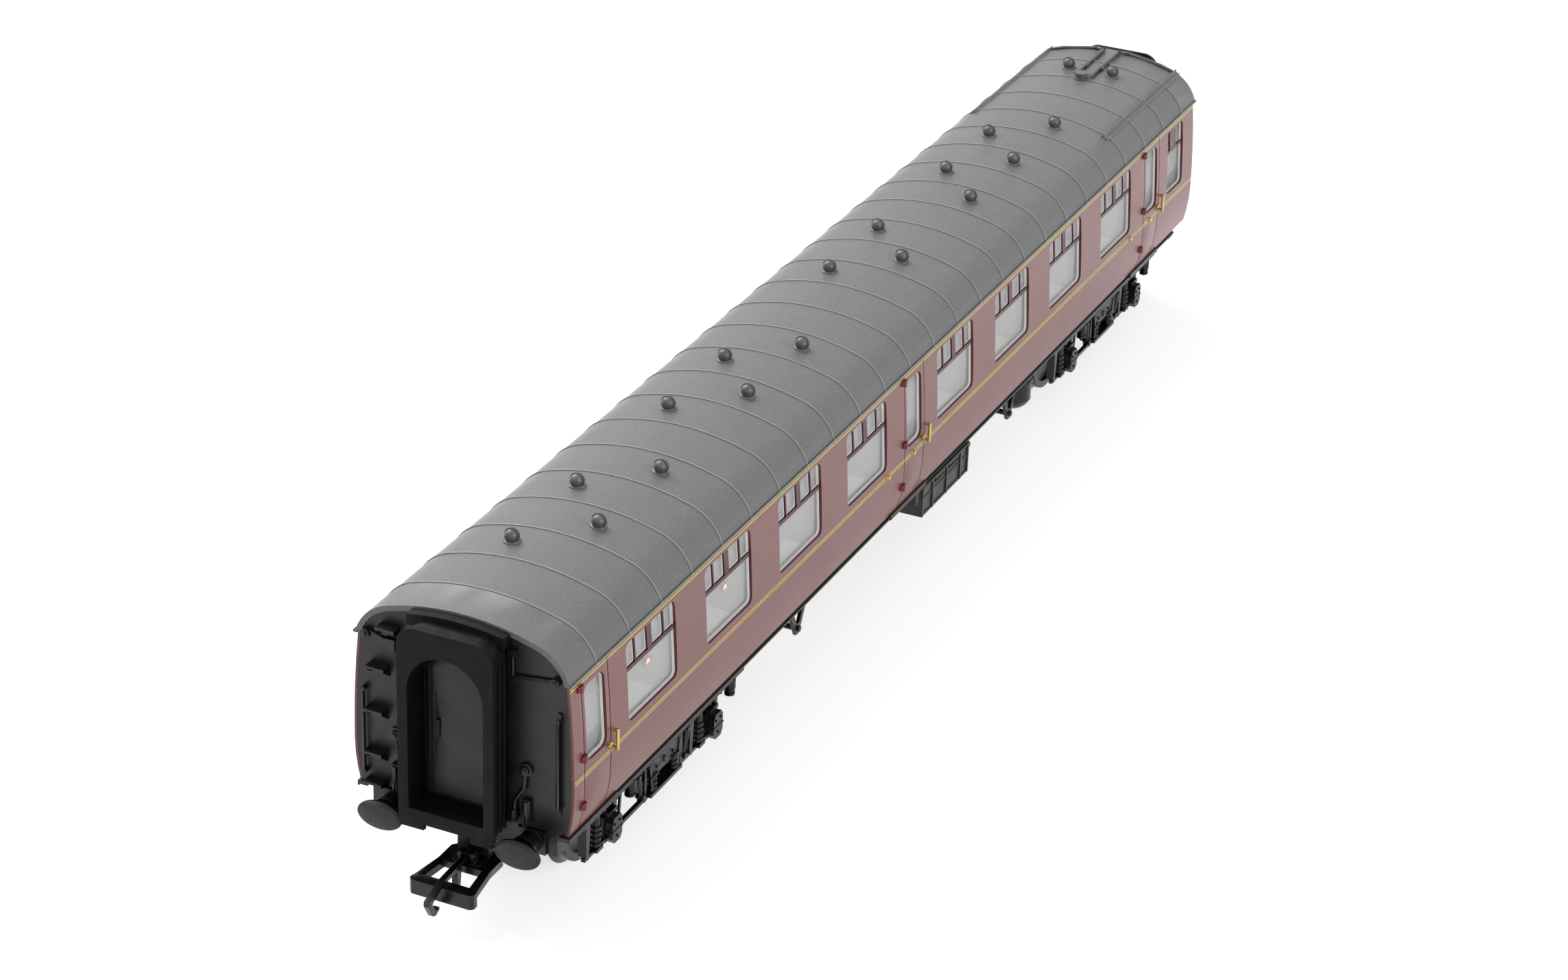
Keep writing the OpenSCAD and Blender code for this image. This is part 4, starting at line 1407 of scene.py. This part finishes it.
@dataclass
class Ends:
    """Both coach ends: plates, gangways, doors, steps, rails and pipes."""

    edge: float = 0.07

    def build(self) -> None:
        """Dress both ends."""
        for end in End:
            soften(f"end_wall_{end.value}", END_BLACK, self.edge)
            soften(f"gangway_{end.value}", BELLOWS_BLACK, 0.1, split=True)
        soften("corridor_doors", END_BLACK, 0.02, split=True)
        soften("end_steps", BLACK_STYRENE, 0.03, split=True)
        soften("end_handrails", BLACK_STYRENE, 0.0)
        soften("end_pipes", BLACK_STYRENE, 0.03, split=True)
        soften("buffers", BLACK_ACETAL, 0.05, split=True)


@dataclass
class Underframe:
    """Floor, solebars, trussing and the gear that hangs from them."""

    edge: float = 0.06

    def build(self) -> None:
        """Dress the underframe."""
        for node in ("underframe", "truss_rods", "footboards"):
            soften(node, BLACK_STYRENE, self.edge)
        soften("brake_hangers", BLACK_STYRENE, 0.015)
        soften("coupling_pockets", BLACK_STYRENE, self.edge)
        soften("battery_boxes", GREY_STYRENE, 0.014)
        soften("vacuum_cylinders", BLACK_ACETAL, 0.07)
        soften("dynamo", BLACK_ACETAL, 0.06)


@dataclass
class Inside:
    """What shows through the windows: floor tray, seats, tables, partitions."""

    edge: float = 0.12
    half_length: float = 126.6
    half_width: float = 15.6
    floor: float = 17.92
    thickness: float = 0.4
    wall_top: float = 25.6

    def build(self) -> None:
        """Dress the inside."""
        soften("partitions", INTERIOR, self.edge)
        soften("tables", INTERIOR, self.edge, split=True)
        soften("seats", SEAT_WHITE, 0.28)
        self.tray()

    def tray(self) -> None:
        """Pale one-piece tray: a floor with a low wall along each side."""
        shape = bmesh.new()
        size = (2 * self.half_length, 2 * self.half_width, 1.0)
        sheet = bmesh.ops.create_grid(
            shape,
            x_segments=1,
            y_segments=1,
            size=0.5,
            matrix=Matrix.Translation((0, 0, self.floor)) @ Matrix.Diagonal((*size, 1.0)),
        )["verts"]
        for sign in (-1, 1):
            rim = next(
                e
                for e in shape.edges
                if all(v in sheet and v.co.y * sign > 1 for v in e.verts)
            )
            raised = bmesh.ops.extrude_edge_only(shape, edges=[rim])["geom"]
            tops = [g for g in raised if isinstance(g, bmesh.types.BMVert)]
            lift = (0, 0, self.wall_top - self.floor)
            bmesh.ops.translate(shape, vec=lift, verts=tops)
        bmesh.ops.recalc_face_normals(shape, faces=shape.faces)
        flat = next(f for f in shape.faces if abs(f.normal.z) > 0.9)
        if flat.normal.z > 0:
            bmesh.ops.reverse_faces(shape, faces=shape.faces)
        bmesh.ops.solidify(shape, geom=shape.faces[:], thickness=self.thickness)
        publish(shape, "interior_tray", INTERIOR, BODY)


@dataclass
class BogieRigging:
    """Links, dampers, rods and bolts outside the side plates of each bogie."""

    pivot: float = 93.0
    axle: float = 7.95
    plate: float = 12.95
    bolster_half: float = 4.3
    bolster_rise: float = 1.25
    bolster_height: float = 1.7
    bolster_out: float = 14.3
    bosses: tuple[tuple[float, float], ...] = ((0.0, 0.55), (-2.7, 0.26), (2.7, 0.26))
    cap_x: float = 3.5
    cap_half: float = 1.1
    cap_reach: tuple[float, float] = (13.1, 14.8)
    link_half: float = 0.24
    link_thickness: float = 0.32
    link_eye: float = 0.48
    pin_head: float = 0.22
    damper_y: float = 14.1
    damper_steps: tuple[float, float] = (0.3, 0.6)
    damper_radii: tuple[float, float, float] = (0.3, 0.44, 0.56)
    damper_eye: float = 0.42
    damper_reach: tuple[float, float] = (13.3, 14.72)
    rod_y: float = 13.55
    rod_rise: float = 1.0
    rod_radius: float = 0.2
    rod_half: float = 9.3
    sleeve: tuple[float, float] = (-8.2, -6.9)
    bolt: float = 0.21
    bolt_pitch: float = 2.1
    bolt_drop: float = 0.55
    bolt_out: float = 13.2
    bolts: int = 21
    rib_pitch: float = 3.9
    rib_half: float = 0.14
    rib_height: float = 0.75
    rib_out: float = 14.5
    ribs: int = 11
    top: float = 12.05
    links: tuple[tuple[tuple[float, float], tuple[float, float], float], ...] = (
        ((-5.0, 11.2), (-4.3, 6.8), 14.3),
        ((5.0, 11.2), (4.3, 6.8), 14.3),
        ((-14.1, 11.3), (-14.1, 7.0), 13.3),
        ((13.3, 11.3), (13.9, 6.9), 13.6),
        ((-1.6, 11.4), (1.6, 11.4), 14.0),
    )
    dampers: tuple[tuple[tuple[float, float], tuple[float, float]], ...] = (
        ((7.1, 6.9), (8.5, 11.1)),
        ((-7.0, 6.9), (-7.9, 11.1)),
    )

    def build(self) -> None:
        """Make the rigging of both bogies."""
        for end, sign in ((End.A, -1), (End.B, 1)):
            shape = bmesh.new()
            self.bolster_end(shape)
            for start, stop, out in self.links:
                self.link(shape, start, stop, out)
            for start, stop in self.dampers:
                self.damper(shape, start, stop)
            self.pull_rod(shape)
            self.bolts_and_ribs(shape)
            made = bmesh.ops.duplicate(shape, geom=[*shape.verts, *shape.edges, *shape.faces])
            corners = [g for g in made["geom"] if isinstance(g, bmesh.types.BMVert)]
            turned = Matrix.Rotation(math.pi, 3, "Z")
            bmesh.ops.rotate(shape, cent=(0, 0, 0), matrix=turned, verts=corners)
            bmesh.ops.translate(shape, vec=(sign * self.pivot, 0, 0), verts=shape.verts)
            publish(
                shape,
                f"bogie_rigging_{end.value}",
                BLACK_STYRENE,
                f"bogie_{end.value}",
                angle=32,
            )

    def bolster_end(self, shape: bmesh.types.BMesh) -> None:
        """Cast end of the bolster on its two spring caps, with boss and bolts.

        Args:
            shape: The bmesh it is added to.
        """
        half, low, out = self.bolster_half, self.axle + self.bolster_rise, self.bolster_out
        high = low + self.bolster_height
        slab(shape, (-half, self.plate, low), (half, out, high), 0.15)
        panel = (-half + 0.5, out - 0.1, low + 0.3), (half - 0.5, out + 0.2, high - 0.3)
        slab(shape, *panel, 0.08)
        near, far = self.cap_reach
        for x in (-self.cap_x, self.cap_x):
            cap = (x - self.cap_half, near, low - 0.4), (x + self.cap_half, far, low - 0.05)
            slab(shape, *cap, 0.06)
        for x, radius in self.bosses:
            self.stud(shape, x, (low + high) / 2, (out + 0.1, out + 0.45), radius)

    def stud(
        self,
        shape: bmesh.types.BMesh,
        x: float,
        z: float,
        out: tuple[float, float],
        radius: float,
        steps: int = 14,
    ) -> list[bmesh.types.BMVert]:
        """Add a round stud that stands out sideways with a chamfered rim.

        Args:
            shape: The bmesh it is added to.
            x: Place along the coach from the pivot.
            z: Height above the rail.
            out: Where it starts and ends across the coach.
            radius: Its radius.
            steps: Faces round it.

        Returns:
            The vertices it added.
        """
        rim = radius * 0.25
        profile = ((out[0], 0), (out[0], radius), (out[1] - rim, radius))
        ends = ((out[1], radius - rim), (out[1], 0))
        made = lathe(shape, (*profile, *ends), Vector((0, 1, 0)), steps)
        bmesh.ops.translate(shape, vec=(x, 0, z), verts=made)
        return made

    def lie(
        self,
        shape: bmesh.types.BMesh,
        parts: list[bmesh.types.BMVert],
        start: tuple[float, float],
        stop: tuple[float, float],
    ) -> None:
        """Turn what lies along X so that it runs from start to stop.

        Args:
            shape: The bmesh that holds it.
            parts: Its vertices.
            start: Place along the coach and height of its first end.
            stop: The same for its other end.
        """
        turn = math.atan2(stop[1] - start[1], stop[0] - start[0])
        place = Matrix.Translation((start[0], 0, start[1]))
        bmesh.ops.transform(
            shape, matrix=place @ Matrix.Rotation(-turn, 4, "Y"), verts=parts
        )

    def link(
        self,
        shape: bmesh.types.BMesh,
        start: tuple[float, float],
        stop: tuple[float, float],
        out: float,
    ) -> None:
        """Add a flat link with an eye and a pin head at each end.

        Args:
            shape: The bmesh it is added to.
            start: Place along the coach and height of its first eye.
            stop: The same for its other eye.
            out: Where it starts across the coach.
        """
        length = math.dist(start, stop)
        half, face = self.link_half, out + self.link_thickness
        parts = list(slab(shape, (0, out, -half), (length, face, half)))
        for x in (0.0, length):
            parts += self.stud(shape, x, 0, (out - 0.1, face + 0.06), self.link_eye)
            parts += self.stud(shape, x, 0, (face - 0.02, face + 0.16), self.pin_head, 8)
        self.lie(shape, parts, start, stop)

    def damper(
        self, shape: bmesh.types.BMesh, start: tuple[float, float], stop: tuple[float, float]
    ) -> None:
        """Add a damper: a thin rod that slides in a wider sleeve, on two eyes.

        Args:
            shape: The bmesh it is added to.
            start: Place along the coach and height of its lower eye.
            stop: The same for its upper eye.
        """
        length = math.dist(start, stop)
        ends = (0.0, *(step * length for step in self.damper_steps), length)
        profile = [(0.0, 0.0)]
        for a, b, radius in zip(ends, ends[1:], self.damper_radii):
            profile += [(a, radius), (b, radius)]
        parts = lathe(shape, [*profile, (length, 0.0)], Vector((1, 0, 0)), 16)
        bmesh.ops.translate(shape, vec=(0, self.damper_y, 0), verts=parts)
        for x in (0.0, length):
            parts += self.stud(shape, x, 0, self.damper_reach, self.damper_eye)
        self.lie(shape, parts, start, stop)

    def pull_rod(self, shape: bmesh.types.BMesh) -> None:
        """Add the brake pull rod with its adjusting sleeve.

        Args:
            shape: The bmesh it is added to.
        """
        half, thin = self.rod_half, self.rod_radius
        start, stop = self.sleeve
        profile = [(-half, 0), (-half, thin), (start, thin), (start, 2 * thin)]
        profile += [(stop, 2 * thin), (stop, thin), (half, thin), (half, 0)]
        parts = lathe(shape, profile, Vector((1, 0, 0)), 12)
        place = (0, self.rod_y, self.axle + self.rod_rise)
        bmesh.ops.translate(shape, vec=place, verts=parts)

    def bolts_and_ribs(self, shape: bmesh.types.BMesh) -> None:
        """Add bolt heads along the side plate and ribs under its flange.

        Args:
            shape: The bmesh it is added to.
        """
        for i in range(self.bolts):
            x = (i - (self.bolts - 1) / 2) * self.bolt_pitch
            reach = (self.plate, self.bolt_out)
            self.stud(shape, x, self.top - self.bolt_drop, reach, self.bolt, 6)
        for i in range(self.ribs):
            x = (i - (self.ribs - 1) / 2) * self.rib_pitch
            low = (x - self.rib_half, self.plate, self.top - self.rib_height)
            slab(shape, low, (x + self.rib_half, self.rib_out, self.top))


@dataclass
class RunningGear:
    """Bogies, wheels and couplings."""

    pivot: float = 93.0
    half_base: float = 17.0
    axle: float = 7.95

    def build(self) -> None:
        """Dress both bogies, their wheels and the couplings."""
        for end in End:
            letter = end.value
            soften(f"bogie_frame_{letter}", BLACK_STYRENE, 0.02)
            dress(f"axleboxes_{letter}", BLACK_STYRENE)
            soften(f"brake_gear_{letter}", BLACK_STYRENE, 0.02, split=True)
            soften(f"springs_{letter}", BLACK_ACETAL, 0.02)
            soften(f"coupling_{letter}", BLACK_ACETAL, 0.05, split=True)
            soften(f"coupling_hook_{letter}", BLACK_ACETAL, 0.08)
        for number in range(1, 5):
            self.wheelset(number)

    def wheelset(self, number: int) -> None:
        """Dress one wheelset, whose lathe rings centre on its own axle.

        Args:
            number: Its number, from 1 at end a to 4 at end b.
        """
        bogie, place = divmod(number - 1, 2)
        x = (2 * bogie - 1) * self.pivot + (2 * place - 1) * self.half_base
        finish = TurnedWheel(
            f"blackened_wheel_with_bright_tread_{number}",
            "#2a2b2d",
            0.34,
            metallic=0.85,
            shift=0.08,
            patch_mm=3,
            grain_mm=0.3,
            speck=0.02,
            centre_mm=(x, self.axle),
        )
        soften(f"wheelset_{number}", finish, 0.05, 34)


# ---------------------------------------------------------------- studio


@dataclass
class Studio:
    """White floor, soft lamps and the camera."""

    azimuth: float = -65.78
    elevation: float = 27.01
    roll: float = 2.0
    lens: float = 87.56
    sensor: float = 36.0
    eye_mm: tuple[float, float, float] = (-537.5, -232.6, 308.5)
    ambient: float = 0.4
    floor_half: float = 4.0
    paper: str = "#d0d0d0"
    paper_glow: float = 0.68
    near: float = 0.01
    far: float = 20.0

    def build(self) -> None:
        """Make the floor, world, lamps and camera."""
        self.floor()
        self.world()
        self.lamp("key_softbox", (0.25, 0.85, 1.05), (0.0, 0.0, 0.02), 1.1, 22.0)
        self.lamp("side_softbox", (-0.2, -1.3, 0.45), (0.0, 0.0, 0.03), 0.9, 10.0)
        self.lamp("end_softbox", (-1.3, -0.2, 0.4), (-0.1, 0.0, 0.03), 0.6, 2.0)
        self.camera()
        scene = bpy.context.scene
        scene.view_settings.view_transform = "Standard"

    def floor(self) -> None:
        """White sweep that keeps only the shadow of what stands on it."""
        shape = bmesh.new()
        bmesh.ops.create_grid(shape, x_segments=1, y_segments=1, size=self.floor_half)
        mesh = bpy.data.meshes.new("floor")
        shape.to_mesh(mesh)
        shape.free()
        made = bpy.data.objects.new("floor", mesh)
        bpy.context.scene.collection.objects.link(made)
        material = bpy.data.materials.new("white_paper_sweep")
        material.use_nodes = True
        tree = material.node_tree
        tree.nodes.clear()
        paper = add(tree, "ShaderNodeBsdfDiffuse", {"Color": linear(self.paper)})
        glow = add(
            tree,
            "ShaderNodeEmission",
            {"Color": linear("#ffffff"), "Strength": self.paper_glow},
        )
        path = add(tree, "ShaderNodeLightPath")
        seen = add(
            tree,
            "ShaderNodeMath",
            links={0: path.outputs["Is Camera Ray"], 1: path.outputs["Is Glossy Ray"]},
            operation="ADD",
        )
        through = add(
            tree,
            "ShaderNodeMath",
            links={0: seen.outputs[0], 1: path.outputs["Is Transmission Ray"]},
            operation="ADD",
            use_clamp=True,
        )
        dark = add(tree, "ShaderNodeEmission", {"Strength": 0.0})
        lit = add(
            tree,
            "ShaderNodeMixShader",
            links={0: through.outputs[0], 1: dark.outputs[0], 2: glow.outputs[0]},
        )
        both = add(tree, "ShaderNodeAddShader", links={0: paper.outputs[0], 1: lit.outputs[0]})
        add(tree, "ShaderNodeOutputMaterial", links={"Surface": both.outputs[0]})
        mesh.materials.append(material)

    def world(self) -> None:
        """Even white surroundings, dimmer as light than as what is seen."""
        world = bpy.data.worlds.new("white_studio")
        bpy.context.scene.world = world
        world.use_nodes = True
        tree = world.node_tree
        tree.nodes.clear()
        path = add(tree, "ShaderNodeLightPath")
        seen = add(
            tree,
            "ShaderNodeMath",
            links={0: path.outputs["Is Camera Ray"], 1: path.outputs["Is Transmission Ray"]},
            operation="ADD",
        )
        seen = add(
            tree,
            "ShaderNodeMath",
            links={0: seen.outputs[0], 1: path.outputs["Is Glossy Ray"]},
            operation="ADD",
            use_clamp=True,
        )
        strength = add(
            tree,
            "ShaderNodeMapRange",
            {"To Min": self.ambient, "To Max": 1.0},
            {"Value": seen.outputs[0]},
        )
        sky = add(
            tree,
            "ShaderNodeBackground",
            {"Color": linear("#ffffff")},
            {"Strength": strength.outputs[0]},
        )
        add(tree, "ShaderNodeOutputWorld", links={"Surface": sky.outputs[0]})

    def lamp(
        self,
        name: str,
        at: tuple[float, float, float],
        towards: tuple[float, float, float],
        size: float,
        power: float,
    ) -> None:
        """Hang a square softbox.

        Args:
            name: Its name.
            at: Where it hangs, in metres.
            towards: The point that it faces.
            size: Its width, in metres.
            power: Its power, in watts.
        """
        data = bpy.data.lights.new(name, "AREA")
        data.shape = "SQUARE"
        data.size = size
        data.energy = power
        made = bpy.data.objects.new(name, data)
        bpy.context.scene.collection.objects.link(made)
        made.location = at
        aim = Vector(towards) - Vector(at)
        made.rotation_mode = "QUATERNION"
        made.rotation_quaternion = aim.to_track_quat("-Z", "Y")

    def camera(self) -> None:
        """Set the camera from its direction, roll and lens."""
        a, e = math.radians(self.azimuth), math.radians(self.elevation)
        t = math.radians(self.roll)
        back = Vector((math.sin(a) * math.cos(e), -math.cos(a) * math.cos(e), math.sin(e)))
        right = (-back).cross(Vector((0, 0, 1))).normalized()
        up = right.cross(-back)
        turned = right * math.cos(t) + up * math.sin(t)
        above = up * math.cos(t) - right * math.sin(t)
        data = bpy.data.cameras.new("camera")
        data.sensor_width = self.sensor
        data.lens = self.lens
        data.clip_start, data.clip_end = self.near, self.far
        made = bpy.data.objects.new("camera", data)
        bpy.context.scene.collection.objects.link(made)
        made.rotation_mode = "QUATERNION"
        made.location = Vector(self.eye_mm) * MM
        made.rotation_quaternion = (
            Matrix((turned, above, back)).transposed().to_quaternion()
        )
        bpy.context.scene.camera = made


def main() -> None:
    """Build the studio and every sub-assembly in order."""
    logging.basicConfig(level=logging.INFO, format="%(name)s %(message)s")
    shell = Shell()
    builders: list[tuple[str, Callable[[], None]]] = [
        ("studio", Studio().build),
        ("sides", Sides(shell).build),
        ("roof", Roof(shell).build),
        ("ends", Ends().build),
        ("underframe", Underframe().build),
        ("inside", Inside().build),
        ("running gear", RunningGear().build),
        ("bogie rigging", BogieRigging().build),
    ]
    for name, build in builders:
        log.info("building %s", name)
        build()


if __name__ == "__main__":
    main()
